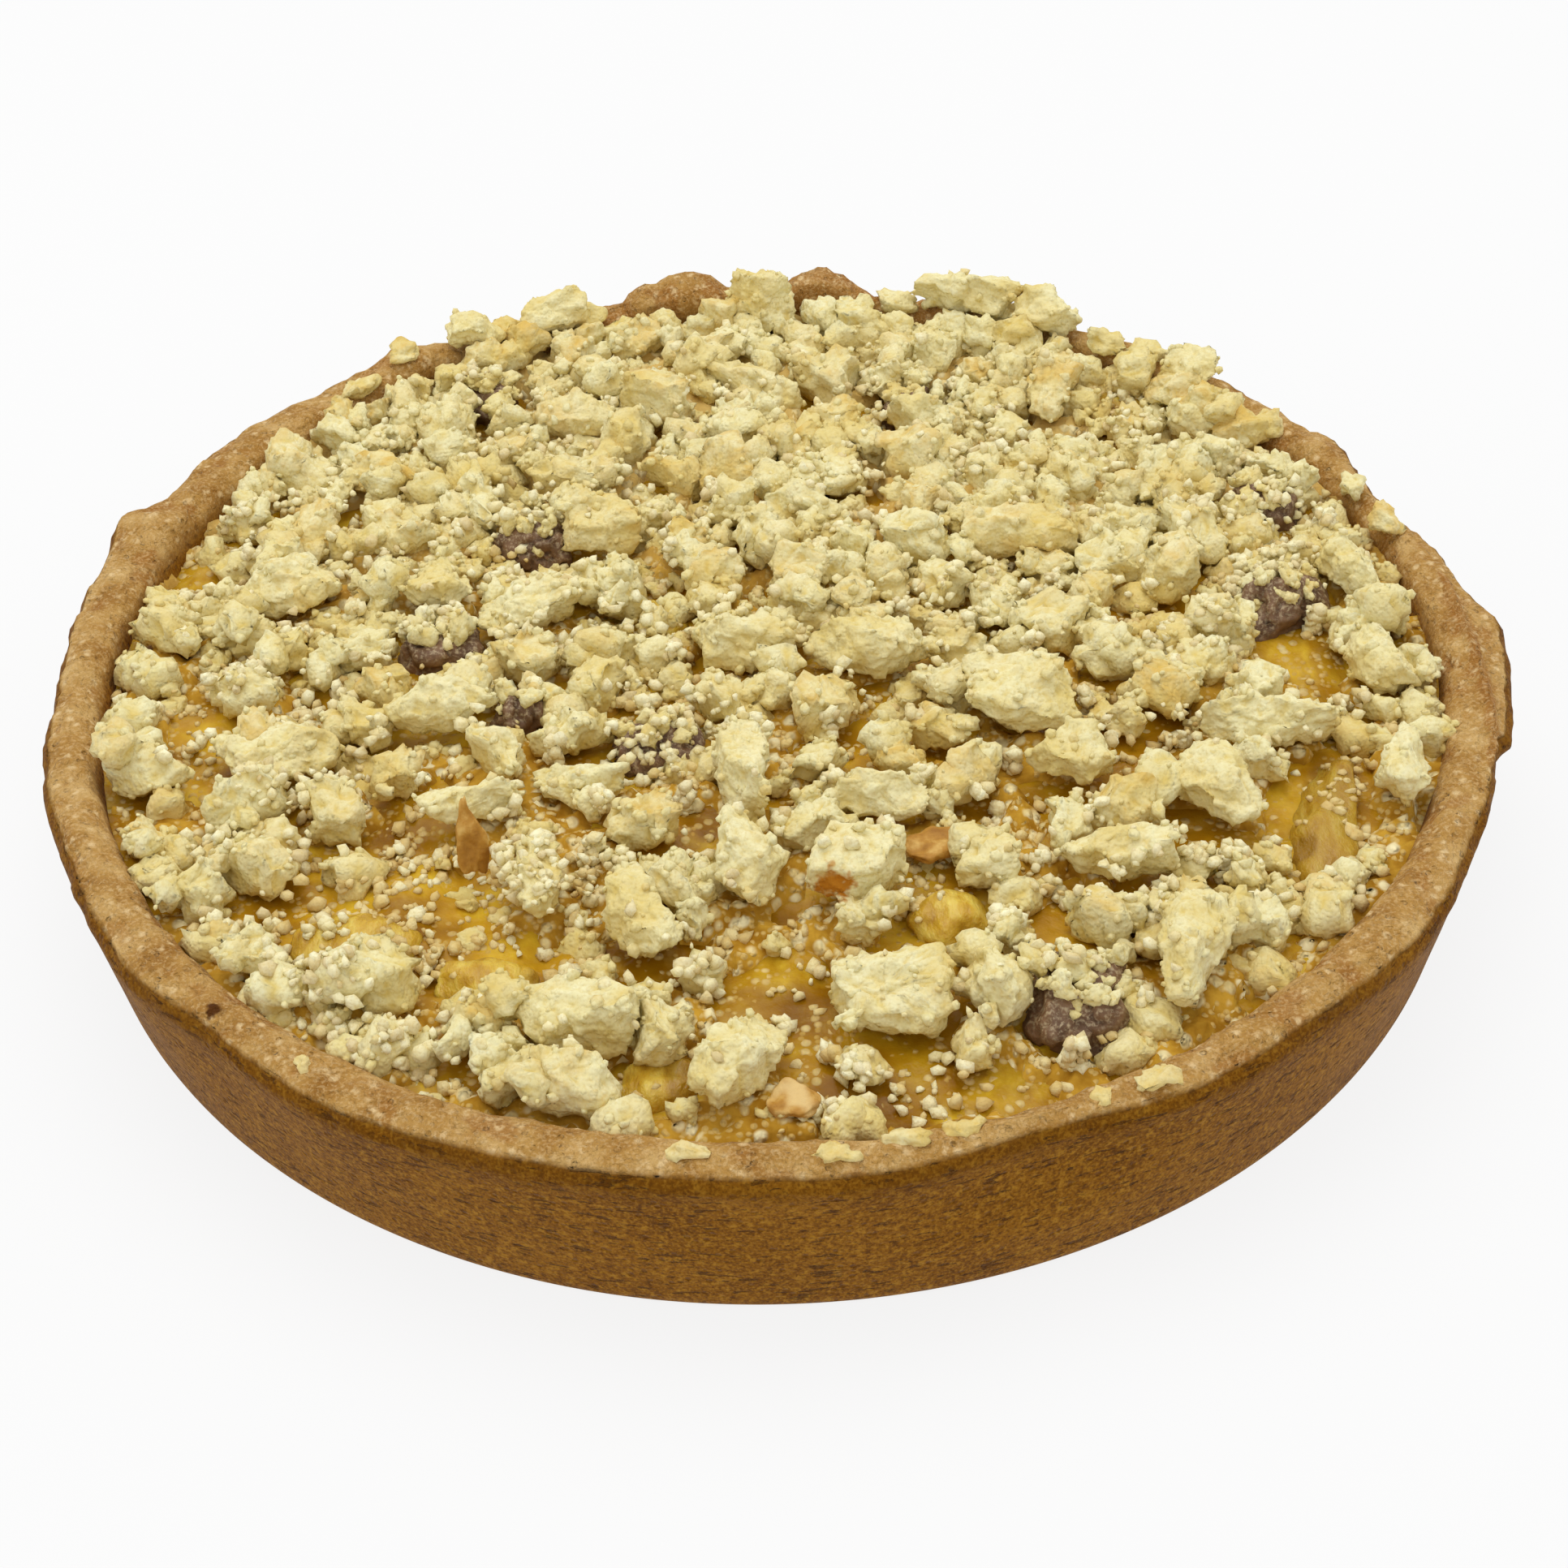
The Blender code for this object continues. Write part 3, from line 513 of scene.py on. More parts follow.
def jelly_material():
    """Amber fruit jelly over yellow apple: wet, slightly cloudy, with grains of crumble sunk in it."""
    material, tree, shader = food_material("apple jelly", 0.2, 0.14)
    cloud = mottle(tree, 9.0, 3.0)
    thin = shades(tree, cloud, *THIN_JELLY)
    deep = shades(tree, cloud, *DARK_JELLY)
    colour = laid_over(tree, mark_of(tree, "deep"), thin, deep)
    fibres = mottle(tree, 1.8, 4.0, (1.0, 0.5, 1.0))
    flesh = shades(tree, fibres, (0.35, (190, 144, 26)), (0.65, (234, 198, 60)))
    colour = laid_over(tree, mark_of(tree, "fruit"), colour, flesh)
    colour = laid_over(tree, patches(tree, 3.2, 4.0, 0.52, 0.74, 0.3), colour, (206, 172, 84))
    coarse, coarse_height = sand(tree, 1.3, 0.0, 0.5)
    fine, fine_height = sand(tree, 0.8, 0.0, 0.45)
    tan = shades(tree, mottle(tree, 2.5, 2.0), (0.35, (204, 170, 98)), (0.65, (232, 210, 146)))
    colour = laid_over(tree, combined(tree, "MULTIPLY", fine, 0.7), colour, (206, 170, 92))
    colour = laid_over(tree, combined(tree, "MULTIPLY", coarse, 0.85), colour, tan)
    normal = relief(tree, mottle(tree, 2.4, 3.0), 0.35)
    normal = relief(tree, fine_height, 0.15, normal)
    normal = relief(tree, coarse_height, 0.3, normal)
    covered = combined(tree, "MAXIMUM", coarse, fine)
    tree.links.new(ramp(tree, covered, 0.0, 1.0, 0.24, 0.7), shader.inputs["Roughness"])
    let_light_in(shader, 0.25, (1.0, 0.7, 0.15), 2.5)
    finish_with(tree, shader, colour, normal)
    return material


points, faces = round_sheet(JELLY_CUTS, FILLING_EDGE)
swelling = 0.55 * wavy(points, 7.0, 21, 2) + 0.22 * wavy(points, 2.4, 22, 2)
deep = smooth(0.5 * wavy(points, 16.0, 23, 2), 0.1, 0.5)
for middle_x, middle_y, reach in DEEP_JELLY:
    away = np.hypot(points[:, 0] - middle_x, points[:, 1] - middle_y)
    deep = np.maximum(deep, 1 - smooth(away, reach - 4, reach + 3))
fruit = smooth(wavy(points, 6.0, 24, 2), 0.3, 0.7)
for middle_x, middle_y, reach in YELLOW_FRUIT:
    away = np.hypot(points[:, 0] - middle_x, points[:, 1] - middle_y)
    fruit = np.maximum(fruit, 1 - smooth(away, reach - 3, reach + 1))
points[:, 2] = filling_level(points) + 0.15 + swelling
marks = {"deep": deep, "fruit": 0.75 * fruit * (0.7 + 0.3 * wavy(points, 2.0, 25, 2))}
jelly = new_piece("apple_jelly", points, faces, jelly_material(), marks)
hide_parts("apple_filling")


# The apple pieces
# Slices and cubes of apple cooked soft and yellow, which stand a little out of the jelly. They are
# fibrous and translucent, with browned corners, and were stirred into the filling.
# x, y, length, width, height and turn in degrees
APPLES = {
    "apple_slice_right": (64.5, -34.0, 22.0, 8.0, 6.0, 74),
    "apple_slice_left": (-46.5, -51.0, 14.0, 10.0, 6.0, -20),
    "apple_wedge_left": (-32.0, -57.0, 11.0, 6.0, 5.0, -8),
    "apple_cube": (19.5, -49.0, 9.0, 8.5, 6.5, 20),
    "apple_middle": (-14.5, 9.0, 9.0, 6.5, 5.5, -35),
    "apple_front": (-12.5, -72.5, 8.5, 6.5, 5.5, 5),
    "apple_back": (53.0, 58.0, 9.5, 7.0, 5.5, -30),
}
# The burnt corner of the left slice: place, reach and strength
APPLE_BURN = ((-49.9, -54.4, 22.0), 2.2, 0.8)
APPLE_RISE = -0.08
APPLE_CUTS = 14


def ball(cuts):
    """Directions from the middle of a ball, and its four-sided faces, with so many cuts to an edge."""
    steps = np.tan(np.linspace(-1, 1, cuts + 1) * math.pi / 4)
    numbers = {}
    faces = []
    for axis, side in itertools.product(range(3), (-1.0, 1.0)):
        grid = {}
        for i, j in itertools.product(range(cuts + 1), repeat=2):
            point = [0.0, 0.0, 0.0]
            point[axis] = side
            point[(axis + 1) % 3] = steps[i]
            point[(axis + 2) % 3] = steps[j]
            grid[i, j] = numbers.setdefault(tuple(round(part, 6) for part in point), len(numbers))
        for i, j in itertools.product(range(cuts), repeat=2):
            corners = [grid[i, j], grid[i + 1, j], grid[i + 1, j + 1], grid[i, j + 1]]
            faces.append(corners if side > 0 else corners[::-1])
    ways = np.array(list(numbers))
    return ways / np.linalg.norm(ways, axis=1, keepdims=True), np.array(faces)


def random_direction(rng):
    height = rng.uniform(-1, 1)
    turn = rng.uniform(0, 2 * math.pi)
    flat = math.sqrt(1 - height * height)
    return np.array([flat * math.cos(turn), flat * math.sin(turn), height])


def unit(way):
    return np.array(way) / math.hypot(*way)


def broken_piece(rng, size, ways, squareness=3.0, chips=6, rough=0.22, dish=0.0, breaks=0):
    """Points of one broken piece of food about its own middle: a block with its corners broken off."""
    planes = [(random_direction(rng), rng.uniform(0.78, 1.05)) for _ in range(chips)]
    offset = np.array([rng.uniform(-40, 40) for _ in range(3)])
    for side in range(breaks):
        turn = 2 * math.pi * (side + rng.uniform(0.1, 0.9)) / breaks
        outside = unit((math.cos(turn), math.sin(turn), rng.uniform(-0.3, 0.9)))
        planes.append((outside, rng.uniform(0.5, 0.85)))
    if breaks:
        turn = rng.uniform(0, 2 * math.pi)
        planes.append((unit((0.4 * math.cos(turn), 0.4 * math.sin(turn), 1.0)), rng.uniform(0.5, 0.75)))
    reach = (np.abs(ways) ** squareness).sum(1) ** (-1 / squareness)
    for normal, limit in planes:
        reach = np.minimum(reach, limit / np.maximum(ways @ normal, 0.01))
    reach = reach * (1 + rough * np.array([noise.noise(place) for place in (ways * 1.6 + offset).tolist()]))
    reach = reach * (1 - dish * smooth(ways @ unit((-0.15, -0.35, 0.92)), 0.55, 0.95))
    points = ways * reach[:, None]
    if breaks:
        points = (points - (points.max(0) + points.min(0)) / 2) * 2 / (points.max(0) - points.min(0))
    return points * np.array(size) / 2


def placed(points, x, y, z, turn, lean=0.0):
    matrix = Matrix.Rotation(math.radians(turn), 3, "Z") @ Matrix.Rotation(math.radians(lean), 3, "X")
    return points @ np.array(matrix).T + (x, y, z)


def joined(parts, faces):
    """Joins pieces that share one layout of faces: their points, faces and each point's piece number."""
    count = len(parts[0])
    all_faces = (faces[None] + np.arange(len(parts))[:, None, None] * count).reshape(-1, faces.shape[1])
    return np.concatenate(parts), all_faces, np.repeat(np.arange(len(parts)), count)


def sunk_pieces(table, kind, rise, ways, **form):
    """The whole of each raisin or piece of apple, sunk in the jelly as its solid is."""
    parts = []
    for number, (x, y, length, width, height, turn) in enumerate(table.values()):
        rng = random.Random(f"{kind} {number}")
        points = broken_piece(rng, (length, width, height), ways, **form)
        level = filling_level(np.array([[x, y, 0.0]]))[0]
        parts.append(placed(points, x, y, level + rise * height, turn))
    return parts


def apple_material():
    """Cooked apple flesh: bright yellow, wet and fibrous, browned where it met the heat."""
    material, tree, shader = food_material("cooked apple", 0.28)
    fibres = mottle(tree, 1.7, 4.0, (1.0, 0.4, 1.0))
    colour = shades(tree, fibres, (0.3, (172, 126, 26)), (0.5, (204, 164, 50)), (0.7, (228, 202, 96)))
    colour = laid_over(tree, mark_of(tree, "browned"), colour, (152, 112, 28))
    colour = laid_over(tree, spot(tree, *APPLE_BURN), colour, (112, 66, 14))
    normal = relief(tree, fibres, 0.7)
    normal = relief(tree, mottle(tree, 0.5, 3.0), 0.1, normal)
    let_light_in(shader, 0.4, (1.0, 0.8, 0.2), 3.0)
    finish_with(tree, shader, colour, normal)
    return material


ball_ways, ball_faces = ball(APPLE_CUTS)
parts = sunk_pieces(APPLES, "apple", APPLE_RISE, ball_ways, rough=0.15, chips=4)
points, faces, number = joined(parts, ball_faces)
points = points + outward(points, faces) * (0.3 * wavy(points, 2.6, 31, 2))[:, None]
right_slice = number == list(APPLES).index("apple_slice_right")
browned = 0.7 * smooth(wavy(points, 5.0, 33), 0.25, 0.6) + 0.5 * right_slice
apples = new_piece("apple_pieces", points, faces, apple_material(), {"browned": browned})
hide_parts(*APPLES)


# The raisins
# Dark dried grapes, wrinkled and dusted with crumble flour, which lie in the filling and show between
# the crumbs. They were mixed into the apple before the crumble was strewn on.
RAISINS = {
    "raisin_front": (32.5, -64.5, 13.0, 10.5, 9.0, 80),
    "raisin_centre": (-13.5, -18.5, 10.0, 8.0, 7.0, 15),
    "raisin_left": (-42.0, 2.5, 10.0, 7.5, 7.0, 10),
    "raisin_left_small": (-30.5, -11.0, 7.5, 5.5, 6.0, 30),
    "raisin_back_left": (-41.5, 64.0, 11.0, 8.0, 7.5, -12),
    "raisin_by_box": (-31.5, 26.0, 10.0, 7.0, 7.5, -25),
    "raisin_right": (66.0, 6.5, 12.0, 8.5, 8.5, 25),
    "raisin_far_right": (67.5, 28.5, 9.5, 7.5, 7.5, -20),
    "raisin_back": (21.5, 58.0, 8.5, 6.5, 6.5, 20),
}
RAISIN_RISE = 0.12
RAISIN_CUTS = 14


def raisin_material():
    """Dark brown wrinkled skin with pale flour caught on it."""
    material, tree, shader = food_material("raisin skin", 0.5)
    cloud = mottle(tree, 3.0, 3.0)
    colour = shades(tree, cloud, (0.3, (94, 66, 42)), (0.55, (122, 90, 62)), (0.75, (150, 118, 88)))
    flour = patches(tree, 0.5, 3.0, 0.44, 0.70, 0.75)
    dusted = combined(tree, "MULTIPLY", flour, mark_of(tree, "top"))
    colour = laid_over(tree, dusted, colour, (196, 176, 140))
    normal = relief(tree, mottle(tree, 0.7, 3.0), 0.18)
    finish_with(tree, shader, colour, normal)
    return material


ball_ways, ball_faces = ball(RAISIN_CUTS)
parts = sunk_pieces(RAISINS, "raisin", RAISIN_RISE, ball_ways, rough=0.3, chips=2, squareness=2.3)
points, faces, number = joined(parts, ball_faces)
wrinkle = np.abs(wavy(points, 2.0, 41, 2))
ways = outward(points, faces)
points = points + ways * (0.9 * smooth(wrinkle, 0.0, 0.3) - 0.6)[:, None]
top = smooth(ways[:, 2], -0.1, 0.7)
raisins = new_piece("raisins", points, faces, raisin_material(), {"top": top})
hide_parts(*RAISINS)


# The crumble's core
# Butter, flour and sugar rubbed to fine crumbs, which lie on the filling as an uneven bed. It is bare in
# places, where the jelly and the fruit show through.
GAP = 0.3
CORE_THICKNESS = 1.3
CORE_CUTS = 150
# Openings in the crumble: x, y, half length, half width, turn in degrees
WINDOWS = (
    (-41.0, -51.0, 15.0, 8.0, -12),
    (0.5, -61.5, 9.0, 9.0, 15),
    (14.0, -74.0, 13.0, 4.5, -3),
    (66.0, -5.0, 6.0, 5.5, 0),
    (-75.0, 20.0, 5.0, 5.0, 30),
    (-69.5, -13.0, 6.0, 7.5, 20),
    (-15.5, -13.0, 9.0, 4.5, 15),
    (46.0, -22.0, 6.0, 5.0, 30),
    (-48.5, -38.5, 8.0, 5.5, 10),
)
RAISIN_ROOM = 1.7
APPLE_ROOM = 1.8


def openings():
    places = list(WINDOWS)
    for table, room in ((RAISINS, RAISIN_ROOM), (APPLES, APPLE_ROOM)):
        for x, y, length, width, height, turn in table.values():
            places.append((x, y, length / 2 + room, width / 2 + room, turn))
    return places


def openness(x, y):
    """How far inside the nearest opening each place is: 1 in its middle, 0 on its edge, less outside."""
    best = np.full(np.shape(x), -9.0)
    for middle_x, middle_y, half_length, half_width, turn in openings():
        c, s = math.cos(math.radians(turn)), math.sin(math.radians(turn))
        along = (x - middle_x) * c + (y - middle_y) * s
        across = (y - middle_y) * c - (x - middle_x) * s
        best = np.maximum(best, 1 - np.sqrt((along / half_length) ** 2 + (across / half_width) ** 2))
    return best


def bed_material():
    """Fine grains packed over the wet jelly: whitish on top, tan and amber down between them."""
    material, tree, shader = food_material("bed of grains", 0.8, 0.1)
    colour = shades(tree, mottle(tree, 3.0, 3.0), (0.35, (158, 110, 22)), (0.65, (204, 158, 54)))
    colour = laid_over(tree, mark_of(tree, "thick", 0.75), colour, (222, 192, 118))
    fine, fine_height = sand(tree, 0.9, 0.35, 0.95)
    coarse, coarse_height = sand(tree, 2.0, 0.3, 0.95)
    colour = laid_over(tree, combined(tree, "MULTIPLY", fine, 0.85), colour, (218, 184, 108))
    light = shades(tree, mottle(tree, 2.5, 2.0), (0.35, (232, 208, 142)), (0.65, (252, 240, 192)))
    colour = laid_over(tree, combined(tree, "MULTIPLY", coarse, 0.95), colour, light)
    normal = relief(tree, mottle(tree, 2.2, 3.0), 0.4)
    normal = relief(tree, fine_height, 0.2, normal)
    normal = relief(tree, coarse_height, 0.45, normal)
    finish_with(tree, shader, colour, normal)
    return material


points, faces = round_sheet(CORE_CUTS, FILLING_EDGE)
granules = beads(points + 0.7 * wavy(points, 2.0, 51)[:, None], 1.7, 52)
open_share = openness(points[:, 0], points[:, 1]) + 0.35 * wavy(points, 4.5, 53, 2)
near_wall = smooth(np.hypot(points[:, 0], points[:, 1]), 74, 82)
bareness = 0.15 - 0.5 * smooth(points[:, 1], 0.0, 60.0) - 0.8 * near_wall
open_share = np.maximum(open_share, 1.5 * wavy(points, 7.0, 54, 2) + bareness)
thick = smooth(points[:, 1], 5, 50)
bed = GAP + CORE_THICKNESS - 0.9 + 1.1 * granules + 0.7 * wavy(points, 4.0, 55, 2) + 0.9 * thick
points[:, 2] = filling_level(points) + bed - 3.4 * smooth(open_share, -0.15, 0.25)
core = new_piece("crumble_bed", points, faces, bed_material(), {"thick": thick})
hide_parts("crumble")

# The heap's top as heights on a square map, on which the later pieces are set
HEAP_CELL = 0.4
HEAP_REACH = 96.0
heap_top = np.full((int(2 * HEAP_REACH / HEAP_CELL),) * 2, 0.0)


def heap_index(x, y):
    last = len(heap_top) - 1
    return tuple(np.clip(((side + HEAP_REACH) / HEAP_CELL).astype(int), 0, last) for side in (x, y))


def cover(points):
    """Raises the map of the heap's top, which later pieces are set on, by the points of a piece."""
    np.maximum.at(heap_top, heap_index(points[:, 0], points[:, 1]), points[:, 2])


def fill_gaps_in_map():
    """Closes the small holes that are left between the points of the map."""
    for axis, step in itertools.product((0, 1), (-1, 1)):
        moved = np.roll(heap_top, step, axis)
        heap_top[:] = np.where(heap_top < moved - 2.5, moved, heap_top)


for piece in (core, jelly, apples, raisins):
    sides = np.empty(len(piece.data.vertices) * 3)
    piece.data.vertices.foreach_get("co", sides)
    cover(sides.reshape(-1, 3) / MM)


# The crumbs on the core
# Broken crumbs of 4 to 17 mm, strewn by hand and baked on. Each one is a clump of rubbed flour, butter
# and sugar with broken faces and a granular edge, and it sits a little way into the bed.
# x, y, length, width, height and turn in degrees
PLACED_CRUMBS = (
    (-7.0, 13.5, 8.0, 7.0, 6.0, 4),
    (20.0, -17.0, 8.0, 5.0, 4.5, -20),
    (24.0, -2.0, 7.5, 4.6, 4.5, -23),
    (-52.0, 1.0, 8.0, 5.0, 5.0, -15),
    (-23.0, -27.0, 10.5, 5.5, 5.0, -3),
    (24.5, -42.0, 7.5, 6.0, 5.5, -8),
    (58.0, -57.0, 8.0, 4.4, 5.0, 7),
    (31.0, -46.5, 13.0, 5.0, 6.0, -60),
    (43.0, -6.0, 9.5, 4.0, 4.5, -8),
    (54.0, -6.0, 9.5, 6.0, 5.0, -13),
    (70.0, 32.0, 11.5, 6.0, 6.0, -63),
    (58.0, 53.0, 13.0, 6.0, 6.0, -57),
    (-64.5, -44.0, 7.0, 6.0, 6.5, -19),
    (-73.0, -34.0, 8.8, 4.2, 5.5, -17),
    (-59.0, -39.0, 9.0, 6.0, 6.0, -29),
    (-56.0, -55.0, 7.0, 5.3, 6.0, -35),
    (-78.0, 7.0, 8.5, 6.3, 6.0, -15),
    (-75.0, -4.0, 9.2, 5.6, 5.5, -13),
    (-52.5, 41.5, 11.0, 7.0, 6.0, -25),
    (-18.5, 76.5, 9.0, 6.0, 6.0, 13),
    (-12.5, 40.5, 9.4, 5.6, 6.0, -16),
    (4.7, 31.5, 10.0, 5.5, 5.5, -14),
    (19.0, 63.0, 9.7, 5.9, 5.5, 10),
    (-63.0, 43.0, 10.0, 6.8, 6.0, 9),
    (-40.0, 35.0, 17.0, 6.0, 6.0, -71),
    (-3.0, 64.0, 13.0, 5.3, 5.5, -35),
    (47.5, 21.5, 10.0, 5.9, 6.0, 8),
    (-31.0, -66.0, 7.0, 4.3, 5.0, -12),
    (-32.5, -75.0, 8.5, 5.0, 6.0, -10),
    (53.5, 34.0, 9.0, 6.7, 6.0, 24),
    (-4.0, 51.0, 8.5, 5.8, 6.0, 47),
    (-49.0, 26.5, 10.4, 6.5, 6.0, -14),
)
CRUMB_TRIES = 270
CRUMB_SIZES = (6.2, 11.0)
CRUMB_SPACING = 0.82
CRUMB_SHARES = (1.0, 0.72)
CRUMB_SINK = 0.85
CRUMB_REACH = 79.5
CRUMB_SEED = 41
CRUMB_CUTS = 9
# The orange-brown corner of the square slab: place and reach
BROWNED_PATCH = ((6.6, -47.6, 24.6), 2.8)
GOLDEN_ANGLE = math.radians(137.50776)


def crumb_draws():
    """Every crumb that is tried on the core, the ones seen in the photograph first."""
    for number, (x, y, length, width, height, turn) in enumerate(PLACED_CRUMBS):
        yield f"placed {number}", x, y, (length, width, height), turn
    yield from sorted(filling_crumbs(), key=lambda draw: -draw[3][0])


def filling_crumbs():
    rng = random.Random(CRUMB_SEED)
    for number in range(CRUMB_TRIES):
        radius = CRUMB_REACH * math.sqrt((number + 0.5) / CRUMB_TRIES) + rng.uniform(-1.5, 1.5)
        angle = number * GOLDEN_ANGLE + rng.uniform(-0.02, 0.02)
        least, most = CRUMB_SIZES
        length = least + (most - least) * rng.random() ** 1.6
        size = (length, length * rng.uniform(0.62, 0.95), length * rng.uniform(0.55, 0.85))
        yield number, radius * math.cos(angle), radius * math.sin(angle), size, rng.uniform(0, 360)


def solid_tree(node):
    """Search tree of a CAD solid, in millimetres."""
    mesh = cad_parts[node].data
    corners = [vertex.co / MM for vertex in mesh.vertices]
    return BVHTree.FromPolygons(corners, [face.vertices for face in mesh.polygons])


def fused_crumbs(ways):
    """The crumbs that are fused on the CAD core, found by comparing each try with the solid's height."""
    tree = solid_tree("crumble")
    parts = []
    kept = []
    for number, x, y, size, turn in crumb_draws():
        if openness(np.array(x), np.array(y)) > 0.05:
            continue
        if any(math.hypot(x - u, y - v) < CRUMB_SPACING * (size[0] + other) / 2 for u, v, other in kept):
            continue
        hit = tree.ray_cast(Vector((x, y, 60.0)), Vector((0, 0, -1)))[0]
        level = filling_level(np.array([[x, y, 0.0]]))[0] + GAP + CORE_THICKNESS - CRUMB_SINK
        for share in CRUMB_SHARES:
            rng = random.Random(f"crumb {number}")
            points = broken_piece(rng, [side * share for side in size], ways, chips=2, rough=0.12, breaks=5)
            lift = level - points[:, 2].min()
            crest = level + size[2] * share
            if hit is not None and -1.6 < hit.z - crest < 0.6:
                kept.append((x, y, size[0] * share))
                parts.append(placed(points, x, y, lift, turn))
                break
    return parts


def edges_of(points, faces, ways):
    """How far each point stands out of its surroundings, in millimetres: edges are positive."""
    middles = points[faces].mean(1)
    count = np.bincount(faces.ravel(), minlength=len(points))
    sums = [np.bincount(faces.ravel(), np.repeat(middles[:, axis], 4), len(points)) for axis in range(3)]
    return ((points - np.stack(sums, 1) / count[:, None]) * ways).sum(1)


def crumbled(points, faces, number, lumpiness=1.0, grain=1.3):
    """Breaks smooth clumps up: broken faces that stay flat, and torn granular edges."""
    own = points + 13.7 * number[:, None]
    shift = np.stack([wavy(own, 2.8, 61 + axis, 3) for axis in range(3)], 1)
    moved = points + lumpiness * 0.8 * shift
    ways = outward(moved, faces)
    edge = smooth(edges_of(moved, faces, ways), 0.02, 0.13)
    granules = beads(own + 0.4 * shift, grain, 65)
    torn = np.stack([wavy(own, 1.1, 84 + axis) for axis in range(3)], 1)
    moved = moved + ways * ((0.4 + 0.4 * edge) * (granules - 0.5))[:, None]
    moved = moved + torn * (lumpiness * (0.06 + 0.2 * edge))[:, None]
    # Hollows of the surface and dips between granules, where painted shade goes.
    hollow = smooth(-edges_of(moved, faces, ways), 0.0, 0.2)
    return moved, np.clip(0.35 * (1 - smooth(granules, 0.05, 0.55)) + hollow, 0, 1), ways, edge


def painted_low_shade(points, painted_crevice_shade):
    """Painted shade, golden yellow: how deep each point lies in the heap or in a hollow, less towards the
    back.
    """
    deep = 1 - smooth(points[:, 2] - filling_level(points), 0.8, 5.2)
    return np.clip(painted_crevice_shade + 0.6 * deep, 0, 1) * (1 - 0.45 * smooth(points[:, 1], 10, 60))


def toasted(points, ways, number, edge, seed, share=0.5):
    """How golden each point is: some crumbs more than others, and most on their upper edges."""
    rng = np.random.default_rng(seed)
    each = rng.random(number.max() + 1) ** 2.2
    patch = smooth(wavy(points, 3.5, 71, 2), 0.0, 0.5)
    upper = smooth(ways[:, 2], 0.2, 0.9)
    toast = each[number] * (0.2 + 0.5 * patch + 0.6 * edge) * (0.5 + 0.5 * upper)
    return np.clip(toast * share * 2.4, 0, 0.9)


def crumble_material():
    """Baked crumble: floury, matt and granular, golden where its edges caught the heat."""
    material, tree, shader = food_material("pale crumble", 0.85, 0.08)
    golden = (219, 191, 96)
    colour = shades(tree, mottle(tree, 3.4, 4.0), (0.3, (233, 221, 161)), (0.62, (237, 230, 183)))
    colour = laid_over(tree, patches(tree, 0.6, 2.0, 0.50, 0.72, 0.35), colour, (250, 245, 208))
    colour = laid_over(tree, patches(tree, 0.45, 2.0, 0.50, 0.34, 0.3), colour, (210, 182, 108))
    colour = laid_over(tree, patches(tree, 11.0, 2.0, 0.46, 0.66, 0.48), colour, golden)
    # Painted shade: golden yellow in the crevices and low in the heap.
    colour = laid_over(tree, mark_of(tree, "painted_crevice_shade", 0.75), colour, golden)
    uneven = ramp(tree, mottle(tree, 2.2, 4.0), 0.3, 0.6, 0.35, 1.0)
    toast = combined(tree, "MULTIPLY", mark_of(tree, "toast"), uneven)
    colour = laid_over(tree, toast, colour, (217, 179, 88))
    colour = laid_over(tree, spot(tree, *BROWNED_PATCH), colour, (190, 124, 36))
    normal = relief(tree, mottle(tree, 0.9, 2.0), 0.2)
    normal = relief(tree, ramp(tree, cells(tree, 0.62), 0.0, 0.7, 1.0, 0.0), 0.1, normal)
    finish_with(tree, shader, colour, normal)
    return material


ball_ways, ball_faces = ball(CRUMB_CUTS)
points, faces, number = joined(fused_crumbs(ball_ways), ball_faces)
points, painted_crevice_shade, ways, edge = crumbled(points, faces, number)
marks = {"painted_crevice_shade": painted_low_shade(points, painted_crevice_shade), "toast": toasted(points, ways, number, edge, 5)}
pale_crumble = crumble_material()
crumbs = new_piece("crumbs", points, faces, pale_crumble, marks)
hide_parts("crumble")
cover(points)
# Where grains cling further on: places, outward directions and how torn the edge is there
torn_edges = [np.column_stack([points, ways, edge])]


